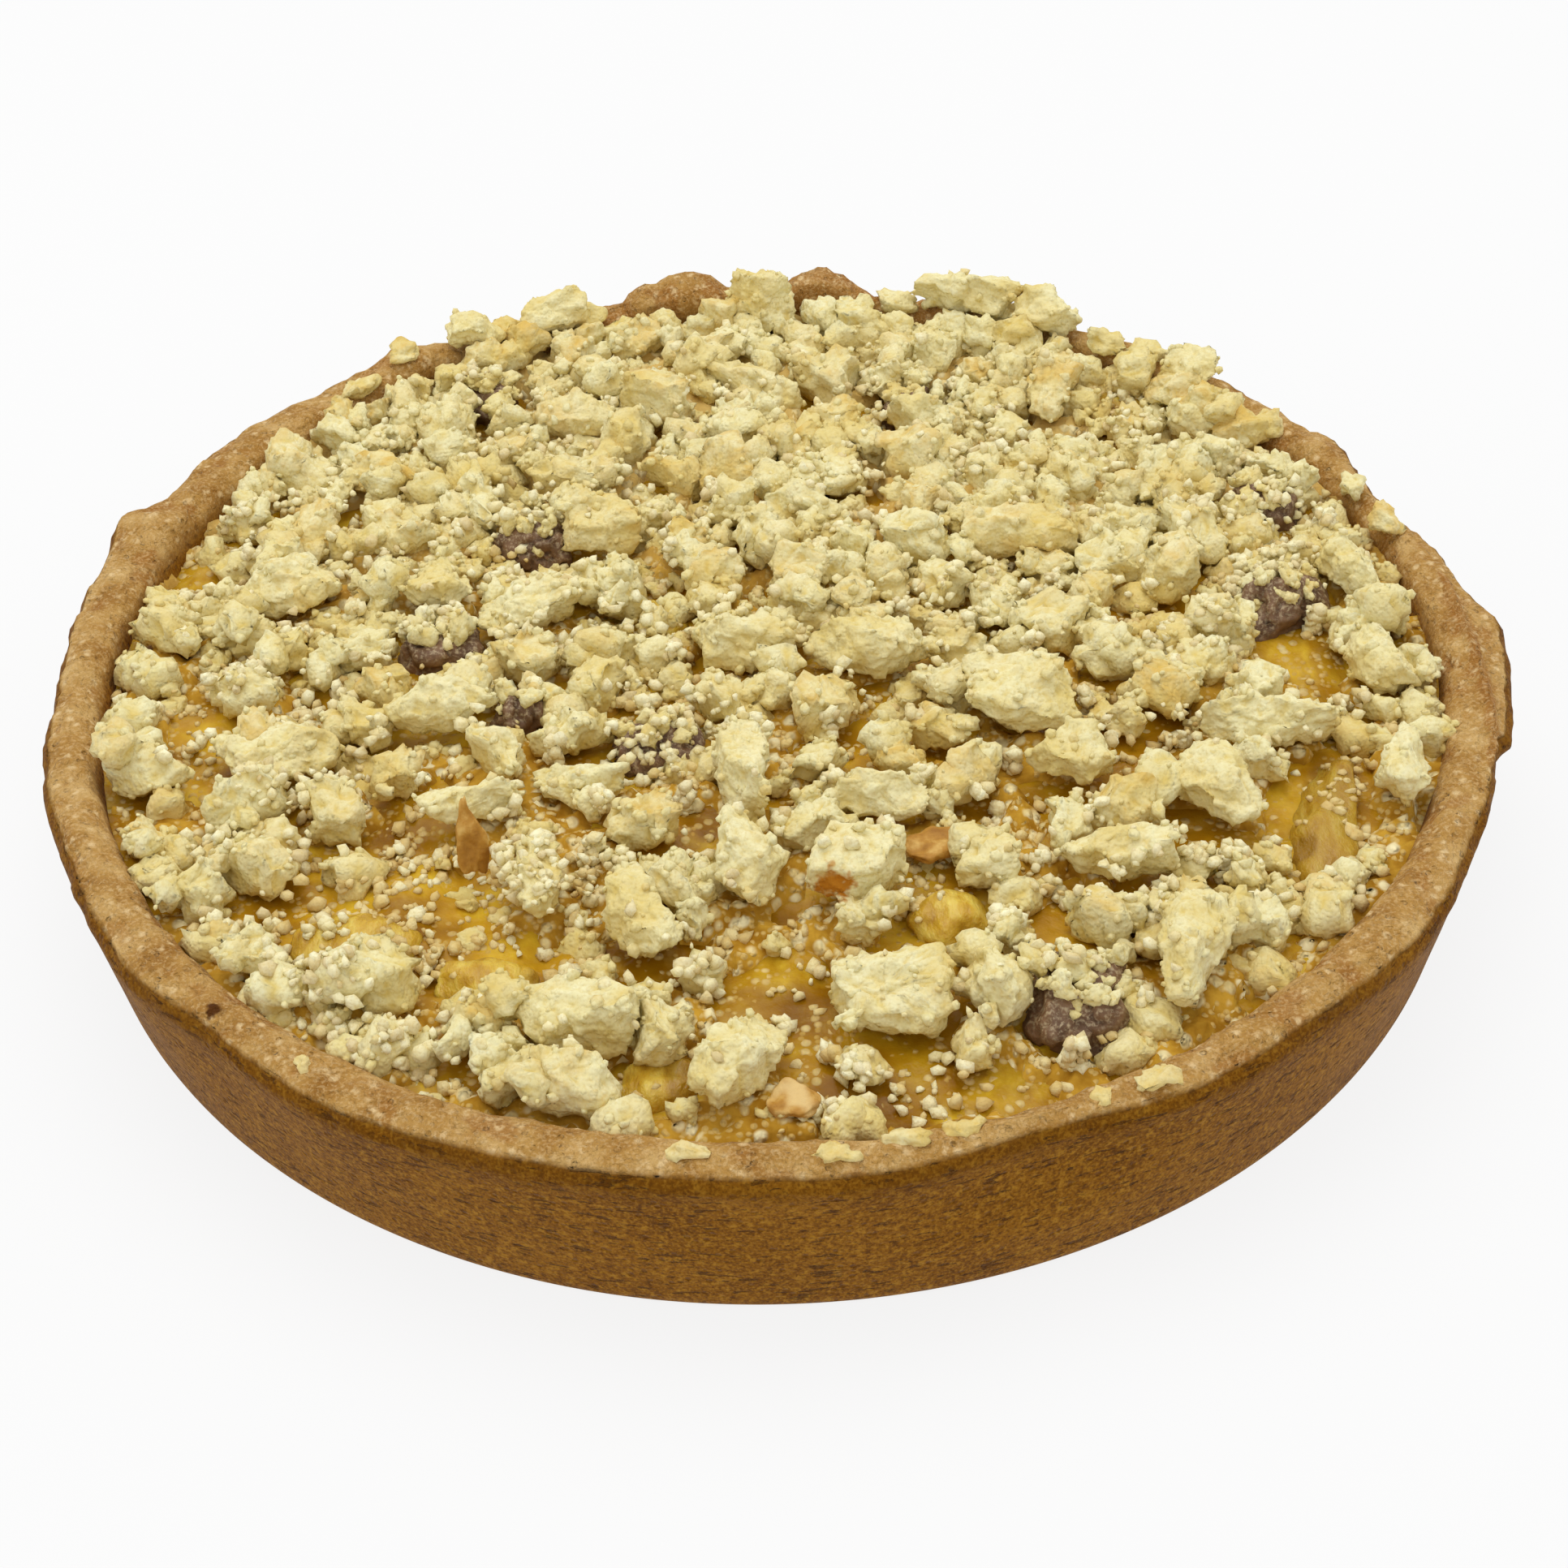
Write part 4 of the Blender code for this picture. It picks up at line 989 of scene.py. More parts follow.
# The large lumps
# The biggest pieces of the crumble, slabs, bars and knobs of 9 to 17 mm, some with a square broken edge
# or a dished top. They lie loose on top of the heap.
# x, y, length, width, height and turn in degrees
LUMPS = {
    "square_slab": (9.5, -44.0, 10.5, 8.0, 6.0, -2),
    "dish_slab": (12.0, -64.0, 12.5, 9.5, 6.5, -2),
    "wedge_slab": (30.5, -14.0, 13.0, 10.0, 6.0, -3),
    "wedge_neighbour": (35.5, -25.5, 9.5, 6.5, 5.5, -7),
    "ridge_far": (-3.5, -28.0, 14.0, 6.0, 7.5, -84),
    "ridge_near": (-2.5, -43.0, 12.0, 7.5, 7.0, -80),
    "pale_slab": (-30.5, 8.0, 14.0, 9.5, 6.5, -3),
    "pale_slab_neighbour": (-43.0, 12.5, 9.0, 7.0, 5.5, -3),
    "flat_disc": (-59.5, -20.0, 15.0, 10.0, 4.5, -3),
    "arch": (-62.0, 13.5, 13.0, 7.5, 6.5, 1),
    "hollow_box": (-22.5, 26.0, 11.0, 8.0, 6.5, -3),
    "middle_block": (-3.0, -1.0, 13.0, 7.5, 6.5, -14),
    "middle_bar": (13.0, -3.0, 15.0, 8.0, 6.5, -11),
    "left_bar": (-40.0, -14.0, 14.0, 6.5, 6.0, 1),
    "left_strip": (-35.0, -31.0, 13.0, 5.0, 4.5, 7),
    "upright_bar": (-26.5, -44.5, 12.0, 5.5, 5.5, -85),
    "slanted_bar": (-14.5, -51.5, 12.0, 6.5, 6.0, -65),
    "front_knob": (-21.0, -65.5, 12.0, 8.5, 6.5, -30),
    "front_browned": (-20.5, -76.0, 9.0, 6.5, 6.5, -2),
    "front_diagonal": (-4.5, -74.0, 13.0, 6.5, 7.0, 58),
    "centre_strip": (11.5, -31.5, 13.0, 5.5, 5.5, -6),
    "front_right_knob": (23.5, -63.5, 9.0, 7.5, 6.5, -31),
    "tall_right": (45.5, -61.0, 15.0, 7.0, 7.5, 73),
    "right_knob": (51.0, -33.0, 12.0, 7.0, 6.5, -49),
    "right_bar": (60.0, -20.5, 16.0, 7.0, 6.0, -7),
    "right_strip": (39.0, -43.5, 12.0, 6.5, 6.0, 8),
    "wall_bar": (73.5, -29.5, 13.0, 5.5, 6.0, -102),
    "wall_knob": (75.5, -9.5, 10.0, 6.0, 6.0, -60),
    "golden_bar": (33.5, 21.5, 15.0, 7.0, 5.5, -6),
    "back_right_knob": (75.0, 11.5, 11.0, 6.0, 6.0, -80),
    "back_golden": (42.0, 56.0, 14.0, 6.5, 6.5, 74),
    "back_left_golden": (-27.5, 55.0, 12.0, 7.0, 5.5, 7),
    "back_pile": (31.0, 79.5, 17.0, 7.0, 6.0, -16),
    "back_crest": (-0.6, 82.5, 9.5, 7.0, 6.5, -3),
    "rim_right": (42.5, 74.0, 9.5, 6.5, 6.0, -30),
    "rim_white": (61.5, 56.5, 9.0, 7.0, 6.0, -45),
    "rim_golden": (-43.0, 73.5, 9.0, 6.5, 5.5, 28),
    "rim_left": (-30.0, 77.5, 11.0, 6.5, 6.0, 20),
}
SQUARE_LUMPS = ("square_slab", "dish_slab", "wedge_slab", "hollow_box", "golden_bar")
DISHED_LUMPS = {"dish_slab": 0.55, "hollow_box": 0.45, "arch": 0.3, "pale_slab": 0.2}
GOLDEN_LUMPS = {
    "arch": 0.5,
    "hollow_box": 0.6,
    "golden_bar": 0.8,
    "back_golden": 0.9,
    "flat_disc": 0.3,
    "back_left_golden": 0.7,
    "front_browned": 0.7,
    "pale_slab": 0.25,
    "middle_bar": 0.2,
    "wall_knob": 0.3,
}
GOLDEN_OTHERS = 0.18
LUMP_CUTS = 18


def lump_points(ways):
    """Each lump at the size and in the place of its own solid."""
    parts = []
    for number, (name, (x, y, length, width, height, turn)) in enumerate(LUMPS.items()):
        squareness = 6.0 if name in SQUARE_LUMPS else 3.0
        rng = random.Random(f"lump {number}")
        dish = DISHED_LUMPS.get(name, 0.0)
        breaks = 0 if name in SQUARE_LUMPS else 6
        size = (length, width, height)
        points = broken_piece(rng, size, ways, squareness, rough=0.1, dish=dish, breaks=breaks)
        points = placed(points, 0.0, 0.0, 0.0, turn)
        low, high = (np.array(corner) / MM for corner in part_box("lump_" + name))
        share = ((high - low) / (points.max(0) - points.min(0))).mean()
        middle = (points.max(0) + points.min(0)) / 2
        parts.append((points - middle) * share + (low + high) / 2)
    return parts


ball_ways, ball_faces = ball(LUMP_CUTS)
points, faces, number = joined(lump_points(ball_ways), ball_faces)
points, painted_crevice_shade, ways, edge = crumbled(points, faces, number, 0.8, 1.2)
tint = np.array([GOLDEN_LUMPS.get(name, GOLDEN_OTHERS) for name in LUMPS])[number]
patch = smooth(wavy(points, 4.0, 73, 2), -0.1, 0.5)
toast = np.clip(tint * (0.2 + 0.5 * patch + 0.6 * edge), 0, 0.9)
marks = {"painted_crevice_shade": painted_low_shade(points, 0.8 * painted_crevice_shade), "toast": toast}
lumps = new_piece("large_lumps", points, faces, pale_crumble, marks)
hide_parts(*["lump_" + name for name in LUMPS])
torn_edges.append(np.column_stack([points, ways, edge]))
cover(points)
fill_gaps_in_map()


# The small crumbs
# Crumbs of 2 to 7 mm that fill the places between the larger ones, pale and granular. They lie on the
# bed, on the raisins and against the sides of their neighbours.
SMALL_TRIES = 3600
SMALL_REACH = 81.5
SMALL_HIGHEST = 4.2
SMALL_SIZES = (2.2, 6.4)
SMALL_CUTS = 4
SMALL_MOST = 855
# Crumbs of the photograph that lie low along the wall: x, y and length
WALL_CRUMBS = (
    (39.4, -66.9, 7.5),
    (36.2, -71.5, 6.0),
    (61.5, -50.1, 6.5),
    (53.4, -60.1, 6.0),
    (64.5, -46.0, 5.5),
    (-46.2, -61.0, 6.5),
    (-41.1, -68.4, 7.0),
    (-25.0, -77.0, 5.5),
    (78.5, -16.5, 6.0),
    (80.5, -8.4, 6.5),
    (79.5, -15.0, 6.5),
    (79.0, -22.0, 5.5),
    (77.0, 0.0, 6.5),
    (78.5, 5.5, 6.5),
    (77.0, 21.0, 6.5),
    (-79.5, 14.0, 6.5),
    (-80.0, 0.0, 6.0),
    (-78.5, -12.0, 6.5),
    (-77.5, -22.0, 6.0),
    (-71.0, -39.5, 6.0),
    (-63.0, -51.5, 6.5),
    (-56.0, -60.0, 6.0),
    (-75.5, 28.0, 5.5),
    (-49.0, -61.5, 4.0),
    (-52.1, -60.5, 4.5),
    (-53.8, -63.0, 3.5),
    (-47.4, -64.2, 4.0),
    (-42.7, -65.6, 4.0),
    (-45.0, -68.6, 4.5),
    (-42.0, -70.5, 4.0),
    (-37.8, -69.7, 4.5),
    (-33.4, -68.3, 5.0),
    (-36.9, -73.1, 5.0),
    (-28.9, -64.8, 5.5),
    (-34.2, -61.3, 6.5),
    (-30.0, -72.0, 5.0),
)
RAISIN_BITS = (1.5, 3.6)


def strewn(tries, reach, seed):
    """Places of a sunflower layout, made uneven and put in random order."""
    rng = np.random.default_rng(seed)
    count = np.arange(tries)
    radius = reach * np.sqrt((count + 0.5) / tries) + rng.uniform(-1.0, 1.0, tries)
    angle = count * GOLDEN_ANGLE + rng.uniform(-0.03, 0.03, tries)
    order = rng.permutation(tries)
    return (radius * np.cos(angle))[order], (radius * np.sin(angle))[order], rng


def small_piece(size, rng, ways, flatness, rough, chipped):
    """Points of one small broken piece about its own middle."""
    reach = 1 + rough * wavy(ways * 1.8 + rng.uniform(-40, 40, 3), 1.0, 81)
    reach = reach + chipped * rng.uniform(-1, 1, len(ways))
    sides = size * np.array([1.0, rng.uniform(0.62, 0.95), rng.uniform(*flatness)]) / 2
    return placed(ways * reach[:, None] * sides, 0.0, 0.0, 0.0, rng.uniform(0, 360), rng.uniform(-25, 25))


def small_pieces(x, y, length, rng, ways, sink, flatness=(0.6, 0.9), rough=0.3, chipped=0.0):
    """Small broken pieces of given lengths, each set on the top of the heap at its place."""
    parts = []
    level = heap_top[heap_index(x, y)]
    for u, v, size, low in zip(x, y, length, level):
        points = small_piece(size, rng, ways, flatness, rough, chipped)
        parts.append(points + (u, v, low - points[:, 2].min() - sink * size))
    return parts


def lengths(rng, sizes, count, power):
    """Random lengths between two sizes. The higher the power, the more of them are small."""
    least, most = sizes
    return least + (most - least) * rng.random(count) ** power


def height_on_jelly(x, y):
    """How far the top of the heap lies over the smooth filling."""
    return heap_top[heap_index(x, y)] - filling_level(np.stack([x, y], 1))


def turned_about(x, y, along, across, turn):
    """Places so far along and across from a middle, turned about it by degrees."""
    c, s = math.cos(math.radians(turn)), math.sin(math.radians(turn))
    return x + along * c - across * s, y + along * s + across * c


def covering(x, y, length, width, height, turn, rng):
    """Places and lengths of the bits that lie on a raisin, most of them on its back half."""
    count = round(length * width / 6.5)
    angle = np.arange(count) * GOLDEN_ANGLE
    away = np.sqrt((np.arange(count) + 0.5) / count)
    along, across = away * np.cos(angle) * length / 2, away * np.sin(angle) * width / 2
    x, y = turned_about(x, y, along, across, turn)
    return x, y + 0.18 * width, lengths(rng, RAISIN_BITS, count, 1.3)


x, y, rng = strewn(SMALL_TRIES, SMALL_REACH, 6)
room = (height_on_jelly(x, y) < SMALL_HIGHEST) & ((openness(x, y) < 0.0) | (rng.random(len(x)) < 0.12))
room = room & (rng.random(len(x)) < 0.35 + 0.65 * smooth(y, -30.0, 20.0))
x, y = x[room][:SMALL_MOST], y[room][:SMALL_MOST]
length = lengths(rng, SMALL_SIZES, len(x), 1.2)
over = [covering(*raisin, rng) for raisin in RAISINS.values()]
x = np.concatenate([x, [row[0] for row in WALL_CRUMBS]] + [places[0] for places in over])
y = np.concatenate([y, [row[1] for row in WALL_CRUMBS]] + [places[1] for places in over])
length = np.concatenate([length, [row[2] for row in WALL_CRUMBS]] + [places[2] for places in over])
ball_ways, ball_faces = ball(SMALL_CUTS)
points, faces, number = joined(small_pieces(x, y, length, rng, ball_ways, 0.22), ball_faces)
points, painted_crevice_shade, ways, edge = crumbled(points, faces, number, 0.7, 1.2)
marks = {"painted_crevice_shade": painted_low_shade(points, painted_crevice_shade), "toast": toasted(points, ways, number, edge, 7, 0.25)}
small = new_piece("small_crumbs", points, faces, pale_crumble, marks)
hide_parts("crumble")
torn_edges.append(np.column_stack([points, ways, edge]))
cover(points)
fill_gaps_in_map()


# The clinging grains
# Grains of flour and butter, 0.7 to 1.9 mm, that cling to the torn edges of the crumbs and lumps and
# make them ragged. They were rubbed together with them and are baked on.
CLINGING_COUNT = 5600
CLINGING_SIZES = (0.7, 1.9)
CLINGING_LEVEL = 25.7
CLINGING_BAND = 5.2


def grain_form():
    """The twelve directions and twenty faces of a small grain."""
    gold = (1 + math.sqrt(5)) / 2
    corners = []
    for a, b in itertools.product((-1.0, 1.0), (-gold, gold)):
        corners += [(0.0, a, b), (a, b, 0.0), (b, 0.0, a)]
    ways = np.array(corners)
    faces = []
    for trio in itertools.combinations(range(12), 3):
        sides = [math.dist(corners[trio[i]], corners[trio[i - 1]]) for i in range(3)]
        if max(sides) < 2.1:
            first, second, third = ways[list(trio)]
            turned = np.dot(np.cross(second - first, third - first), first) > 0
            faces.append(trio if turned else trio[::-1])
    return ways / math.hypot(1.0, gold), np.array(faces)


grain_ways, grain_faces = grain_form()
rng = np.random.default_rng(14)
torn = np.concatenate(torn_edges)
height, upward, edge = torn[:, 2], torn[:, 5], torn[:, 6]
share = (0.02 + edge ** 2) * smooth(upward, -0.6, 0.3) * (np.abs(height - CLINGING_LEVEL) < CLINGING_BAND)
chosen = torn[rng.choice(len(torn), CLINGING_COUNT, replace=False, p=share / share.sum())]
parts = []
for row in chosen:
    size = lengths(rng, CLINGING_SIZES, None, 1.6)
    points = small_piece(size, rng, grain_ways, (0.7, 1.0), 0.35, 0.25)
    parts.append(points + row[:3] - 0.05 * size * row[3:6])
points, faces, number = joined(parts, grain_faces)
toast = np.random.default_rng(15).random(number.max() + 1)[number] ** 3
# Painted shade where the grains lie low in the heap.
marks = {"painted_crevice_shade": painted_low_shade(points, 0.1), "toast": 0.4 * toast}
clinging = new_piece("clinging_grains", points, faces, pale_crumble, marks)
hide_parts("crumble")


# The loose grains
# Rounded grains of rubbed flour and butter, 0.7 to 2.3 mm, which lie in drifts between the crumbs and on
# the jelly. They are the palest part of the crumble.
GRAIN_DRIFTS = 190
GRAIN_REACH = 80.0
GRAIN_WALL = 82.0
GRAIN_HIGHEST = 4.5
# The right slice of apple, which they leave bare: x, y, half width and half length
BARE_SLICE = (65.0, -36.0, 8.0, 11.0)
GRAIN_LAYERS = 3
GRAIN_SPREAD = 2.4
GRAIN_SIZES = (0.8, 2.3)
GRAIN_MOST = 8000
THICK_SIZES = (0.7, 2.0)
# Thick drifts of fine pale grains: x, y, half length, half width, turn in degrees, count
THICK_DRIFTS = (
    (9.0, -74.0, 4.0, 2.8, -60, 48),
    (40.0, -49.2, 4.5, 3.0, 0, 48),
    (50.0, -42.9, 6.0, 3.5, -10, 64),
    (-25.1, -47.1, 6.0, 4.0, 10, 60),
    (-29.5, -41.5, 5.0, 3.5, 0, 40),
    (-33.0, -37.9, 4.0, 3.0, 0, 26),
    (58.7, 25.6, 6.0, 4.0, -20, 64),
    (65.4, 12.5, 6.0, 5.0, 0, 76),
    (70.0, 26.0, 5.0, 4.5, 0, 60),
    (-14.7, -21.0, 6.0, 4.5, 0, 60),
    (-9.9, -13.5, 7.0, 3.5, 0, 50),
    (-22.6, 7.3, 4.0, 3.0, 0, 26),
    (53.0, -2.5, 7.0, 3.5, 0, 64),
    (-31.8, 2.5, 4.0, 3.0, 0, 26),
    (-42.4, 5.0, 5.0, 3.5, 0, 50),
    (-69.5, 35.0, 6.0, 4.0, 30, 64),
    (30.5, -60.0, 5.0, 4.5, 0, 60),
    (-33.0, 28.0, 4.0, 3.0, 0, 34),
    (-43.0, 65.0, 5.0, 3.0, 0, 40),
    (-56.0, -27.0, 7.0, 4.0, 20, 60),
    (-66.0, -5.0, 5.0, 4.0, 0, 50),
    (23.0, 9.0, 6.0, 4.0, 0, 40),
    (-49.0, -61.0, 8.0, 3.5, -40, 80),
    (-40.0, -69.0, 8.0, 3.5, -25, 70),
)


def grain_material(name, pale, warm):
    """Single grains of crumble: rounded, floury and matt."""
    material, tree, shader = food_material(name, 0.8, 0.1)
    colour = shades(tree, mottle(tree, 2.6, 3.0), (0.32, warm), (0.64, pale))
    colour = laid_over(tree, mark_of(tree, "toast", 0.5), colour, (202, 166, 98))
    colour = laid_over(tree, patches(tree, 0.4, 2.0, 0.50, 0.34, 0.35), colour, (212, 184, 112))
    normal = relief(tree, mottle(tree, 0.5, 3.0), 0.2)
    finish_with(tree, shader, colour, normal)
    return material


rng = np.random.default_rng(8)
middles = strewn(GRAIN_DRIFTS, GRAIN_REACH, 12)[:2]
parts = []
for layer in range(GRAIN_LAYERS):
    drift = rng.integers(0, GRAIN_DRIFTS, GRAIN_MOST // GRAIN_LAYERS)
    angle = rng.uniform(0, 2 * math.pi, len(drift))
    away = GRAIN_SPREAD * (0.5 + drift % 3) * np.sqrt(rng.random(len(drift))) * (1 - 0.2 * layer)
    x = middles[0][drift] + away * np.cos(angle)
    y = middles[1][drift] + away * np.sin(angle)
    room = (height_on_jelly(x, y) < GRAIN_HIGHEST) | (rng.random(len(x)) < 0.06)
    room = room & (np.hypot(x, y) < GRAIN_WALL)
    room = room & ((openness(x, y) < 0.2) | (rng.random(len(x)) < 0.3))
    bare_x, bare_y, bare_width, bare_length = BARE_SLICE
    from_slice = np.hypot((x - bare_x) / bare_width, (y - bare_y) / bare_length)
    room = room & (from_slice > rng.uniform(0.9, 1.1, len(x)))
    x, y = x[room], y[room]
    length = lengths(rng, GRAIN_SIZES, len(x), 1.4)
    layer_parts = small_pieces(x, y, length, rng, grain_ways, 0.22, (0.6, 1.0), 0.35, 0.3)
    cover(np.concatenate(layer_parts))
    parts += layer_parts
for middle_x, middle_y, half_length, half_width, turn, count in THICK_DRIFTS:
    away = rng.random(count) ** 0.6
    angle = rng.uniform(0, 2 * math.pi, count)
    along, across = half_length * away * np.cos(angle), half_width * away * np.sin(angle)
    x, y = turned_about(middle_x, middle_y, along, across, turn)
    length = rng.uniform(*THICK_SIZES, count)
    layer_parts = small_pieces(x, y, length, rng, grain_ways, 0.3, (0.6, 1.0), 0.35, 0.35)
    cover(np.concatenate(layer_parts))
    parts += layer_parts
points, faces, number = joined(parts, grain_faces)
toast = np.random.default_rng(9).random(number.max() + 1)[number] ** 3
white_grain = grain_material("pale grain", (250, 244, 204), (238, 224, 168))
grains = new_piece("loose_grains", points, faces, white_grain, {"toast": toast})
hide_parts("crumble")


# The sunk grains
# Grains that fell on the wet jelly and took up its juice. They are tan and half sunk, and cover the
# openings like coarse sand.
SUNK_TRIES = 16000
SUNK_REACH = 82.0
SUNK_HIGHEST = 2.4
SUNK_SIZES = (0.8, 2.2)
SUNK_MOST = 5200

x, y, rng = strewn(SUNK_TRIES, SUNK_REACH, 10)
spots = np.stack([x, y, np.zeros(len(x))], 1)
drift = wavy(spots, 6.0, 92, 2) > rng.uniform(-0.8, 0.4, len(x))
bare = np.zeros(len(x), bool)
for middle_x, middle_y, reach in DEEP_JELLY + YELLOW_FRUIT:
    bare |= np.hypot(x - middle_x, y - middle_y) < reach
room = drift & (height_on_jelly(x, y) < SUNK_HIGHEST) & (~bare | (rng.random(len(x)) < 0.2))
x, y = x[room][:SUNK_MOST], y[room][:SUNK_MOST]
length = lengths(rng, SUNK_SIZES, len(x), 1.5)
parts = small_pieces(x, y, length, rng, grain_ways, 0.4, (0.6, 0.9), 0.35, 0.3)
points, faces, number = joined(parts, grain_faces)
toast = np.random.default_rng(11).random(number.max() + 1)[number]
tan_grain = grain_material("soaked grain", (240, 224, 168), (220, 190, 116))
sunk = new_piece("sunk_grains", points, faces, tan_grain, {"toast": toast})
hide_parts("crumble")


# The toasted flakes
# Thin flakes of crust and crumble that browned fast: one stands up like a spear, one is a triangle and
# one lies at the front rim.
# Length, width, height, turn and lean in degrees
FLAKES = {
    "flake_upright": (3.4, 1.3, 9.0, 15, -22),
    "flake_triangle": (7.0, 4.5, 1.4, 25, 0),
    "flake_front": (4.5, 4.5, 1.5, -30, 0),
}
FLAKE_CUTS = 12


def flake_material():
    """Toasted flake: orange-brown, darker at its edges, finely granular."""
    material, tree, shader = food_material("toasted flake", 0.6)
    cloud = mottle(tree, 2.0, 4.0)
    colour = shades(tree, cloud, (0.3, (158, 106, 32)), (0.5, (186, 134, 50)), (0.72, (220, 180, 100)))
    colour = laid_over(tree, mark_of(tree, "light"), colour, (230, 200, 136))
    finish_with(tree, shader, colour, relief(tree, mottle(tree, 0.5, 4.0), 0.15))
    return material


ball_ways, ball_faces = ball(FLAKE_CUTS)
parts = []
for number, (name, (length, width, height, turn, lean)) in enumerate(FLAKES.items()):
    rng = random.Random(f"flake {number}")
    points = broken_piece(rng, (length, width, height), ball_ways, 4.0, chips=3, rough=0.15)
    if lean:
        points[:, 0] *= 1 - 0.7 * smooth(points[:, 2] / height, -0.2, 0.5)
    points = placed(points, 0, 0, 0, turn, lean)
    low, high = (np.array(corner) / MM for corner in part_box("toasted_" + name))
    parts.append(points - (points.max(0) + points.min(0)) / 2 + (low + high) / 2)
points, faces, number = joined(parts, ball_faces)
points = points + 0.3 * np.stack([wavy(points, 1.8, 95 + axis, 2) for axis in range(3)], 1)
front_one = number == list(FLAKES).index("flake_front")
light = 0.8 * front_one * smooth(wavy(points, 2.0, 98, 2), -0.6, 0.3)
flakes = new_piece("toasted_flakes", points, faces, flake_material(), {"light": light})
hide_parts(*["toasted_" + name for name in FLAKES])


# The crumbs on the rim
# Crumbs that rolled to the rim while the pie was strewn and baked on there. At the back they are heaped
# against the wall and over it. In front only a few small flat ones lie on the rim.
# Azimuth in degrees, radius, length, width and height
RIM_CRUMBS = (
    (112.0, 85.5, 5.5, 4.5, 3.0),
    (116.5, 85.5, 5.5, 4.5, 3.2),
    (108.5, 84.5, 7.5, 5.5, 3.6),
    (91.0, 85.5, 4.5, 4.0, 3.0),
    (76.0, 85.5, 6.5, 5.0, 3.5),
    (71.5, 86.0, 6.0, 5.0, 3.2),
    (64.0, 85.5, 6.0, 4.5, 3.4),
    (53.0, 84.5, 6.1, 4.5, 3.7),
    (48.9, 86.0, 5.5, 4.0, 3.0),
    (127.5, 86.0, 4.9, 4.0, 2.6),
    (133.3, 85.5, 7.3, 4.0, 2.6),
    (32.9, 85.0, 4.7, 4.0, 3.0),
    (20.0, 84.5, 4.5, 3.5, 3.0),
    (13.8, 84.0, 5.0, 4.0, 3.6),
    (-95.9, 86.5, 4.9, 2.6, 1.6),
    (-86.5, 86.5, 4.9, 2.8, 1.6),
    (-81.5, 86.0, 5.0, 2.6, 1.7),
    (-77.5, 85.5, 4.6, 2.4, 1.5),
    (-63.7, 86.8, 5.9, 3.2, 1.8),
    (-67.5, 86.0, 2.8, 2.0, 1.4),
    (-124.2, 87.6, 2.6, 1.8, 1.3),
)
# The bank against the back wall: azimuths in degrees, count, radius, lengths and highest level
BANK_FROM = 34.0
BANK_TO = 152.0
BANK_COUNT = 42
BANK_RADIUS = (79.2, 81.6)
BANK_SIZES = (4.5, 8.0)
BANK_HIGHEST = 23.2
BANK_SINK = 0.8
RIM_CRUMB_CUTS = 7
RIM_CRUMB_SINK = 0.9

ball_ways, ball_faces = ball(RIM_CRUMB_CUTS)
parts = []
for number, (azimuth, radius, length, width, height) in enumerate(RIM_CRUMBS):
    rng = random.Random(f"rim crumb {number}")
    points = broken_piece(rng, (length, width, height), ball_ways, breaks=4)
    turn = math.radians(azimuth)
    level = RIM_HEIGHT + float(rim_shift(np.array([azimuth]))[1][0]) - RIM_CRUMB_SINK - points[:, 2].min()
    parts.append(placed(points, radius * math.cos(turn), radius * math.sin(turn), level, azimuth + 90))
rng = random.Random(17)
for number in range(BANK_COUNT):
    azimuth = BANK_FROM + (BANK_TO - BANK_FROM) * (number + rng.uniform(-0.3, 0.3)) / (BANK_COUNT - 1)
    turn = math.radians(azimuth)
    radius = rng.uniform(*BANK_RADIUS)
    length = rng.uniform(*BANK_SIZES)
    size = (length, length * rng.uniform(0.6, 0.85), length * rng.uniform(0.6, 0.8))
    points = broken_piece(rng, size, ball_ways, breaks=5)
    place = np.array([radius * math.cos(turn)]), np.array([radius * math.sin(turn)])
    level = min(float(heap_top[heap_index(*place)][0]), BANK_HIGHEST) - BANK_SINK - points[:, 2].min()
    parts.append(placed(points, float(place[0][0]), float(place[1][0]), level, rng.uniform(0, 360)))
points, faces, number = joined(parts, ball_faces)
points, painted_crevice_shade, ways, edge = crumbled(points, faces, number, 0.6, 1.1)
in_front = (points[:, 1] < 0) * 0.5
# Painted shade in the hollows of the rim crumbs.
marks = {"painted_crevice_shade": painted_crevice_shade, "toast": np.maximum(toasted(points, ways, number, edge, 15, 0.5), in_front)}
rim_crumbs = new_piece("rim_crumbs", points, faces, pale_crumble, marks)
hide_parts("crumble")


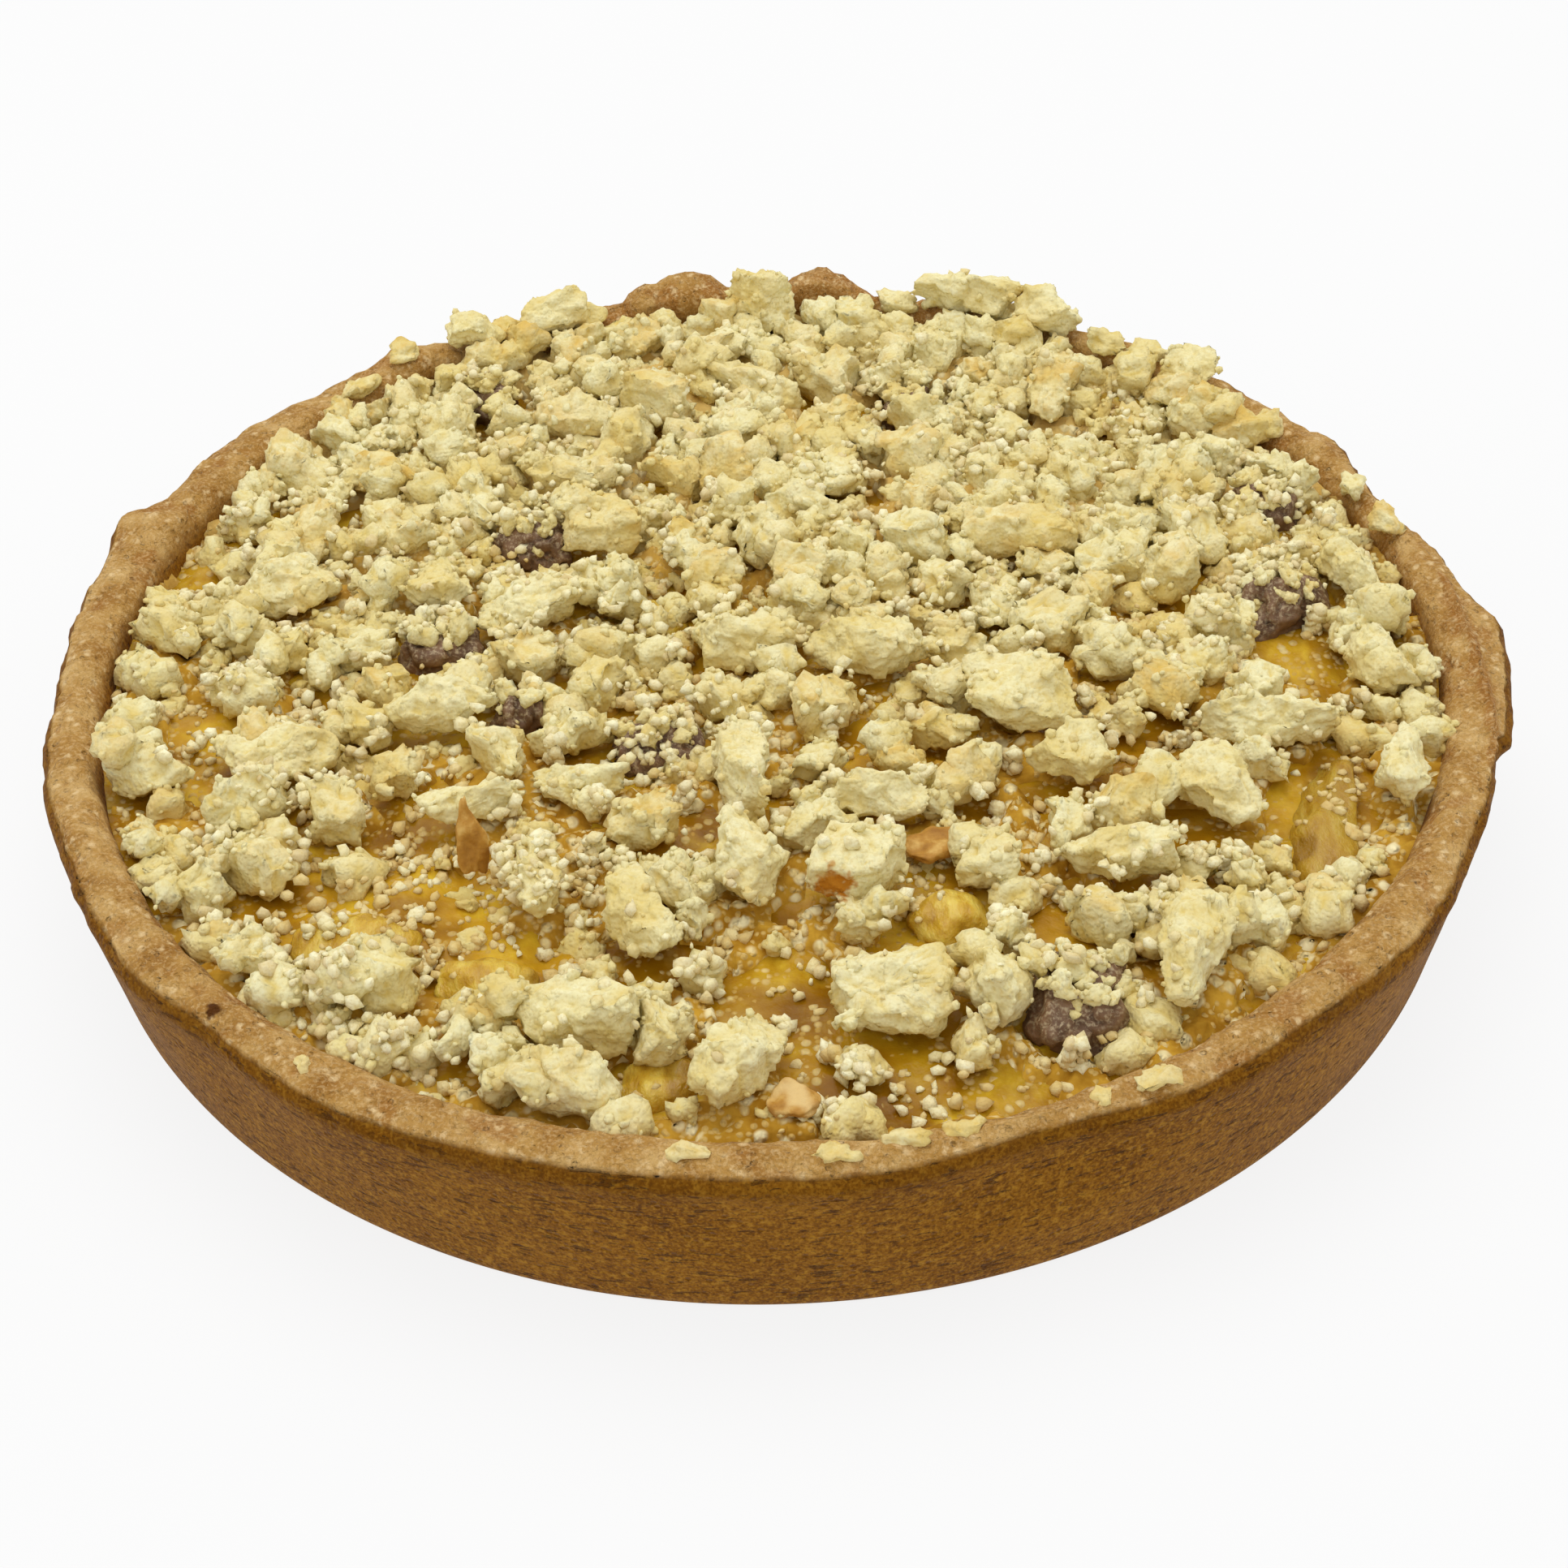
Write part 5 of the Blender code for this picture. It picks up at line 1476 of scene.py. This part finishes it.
# The floor, the light and the camera
# A plain white table top, a wide soft light over the pie and a little behind it, and white surroundings.
# The camera looks down on the pie from the front.
FLOOR_SIZE = 3000.0
floor_mesh = bpy.data.meshes.new("floor")
side = FLOOR_SIZE / 2
corners = [(-side, -side, -0.1), (side, -side, -0.1), (side, side, -0.1), (-side, side, -0.1)]
floor_mesh.from_pydata([Vector(corner) * MM for corner in corners], [], [(0, 1, 2, 3)])
floor = bpy.data.objects.new("floor", floor_mesh)
bpy.context.scene.collection.objects.link(floor)
material, tree, shader = food_material("white table top", 0.9, 0.0)
white = shades(tree, mottle(tree, 400.0, 1.0), (0.3, (95, 95, 95)), (0.7, (97, 97, 97)))
tree.links.new(white, shader.inputs["Base Color"])
shader.inputs["Emission Color"].default_value = (1.0, 1.0, 1.0, 1.0)
shader.inputs["Emission Strength"].default_value = 0.84
floor_mesh.materials.append(material)

lamp = bpy.data.lights.new("overhead light", "AREA")
lamp.shape = "DISK"
lamp.size = 0.7
lamp.energy = 2.5
overhead = bpy.data.objects.new("overhead light", lamp)
overhead.location = Vector((-60.0, 180.0, 750.0)) * MM
overhead.rotation_euler = (Vector((0, 0, 0)) - overhead.location).to_track_quat("-Z", "Y").to_euler()
bpy.context.scene.collection.objects.link(overhead)

world = bpy.data.worlds.new("white surroundings")
world.use_nodes = True
world.node_tree.nodes["Background"].inputs["Color"].default_value = (1.0, 1.0, 1.0, 1.0)
world.node_tree.nodes["Background"].inputs["Strength"].default_value = 0.82
bpy.context.scene.world = world
bpy.context.scene.view_settings.view_transform = "Standard"

VIEW_DISTANCE = 322.5
VIEW_HEIGHT = math.radians(39.9)
VIEW_ROLL = math.radians(-1.65)
VIEW_ASIDE = 1.48
VIEW_DOWN = 0.66
back = Vector((0.0, -math.cos(VIEW_HEIGHT), math.sin(VIEW_HEIGHT)))
level_side = Vector((1.0, 0.0, 0.0))
level_up = back.cross(level_side)
side_way = math.cos(VIEW_ROLL) * level_side + math.sin(VIEW_ROLL) * level_up
up_way = math.cos(VIEW_ROLL) * level_up - math.sin(VIEW_ROLL) * level_side
camera = bpy.data.objects.new("camera", bpy.data.cameras.new("camera"))
camera.data.lens = 55.9
camera.data.clip_start = 0.01
camera.matrix_world = Matrix.LocRotScale(
    (back * VIEW_DISTANCE + side_way * VIEW_ASIDE - up_way * VIEW_DOWN) * MM,
    Matrix((side_way, up_way, back)).transposed().to_quaternion(),
    None,
)
bpy.context.scene.collection.objects.link(camera)
bpy.context.scene.camera = camera
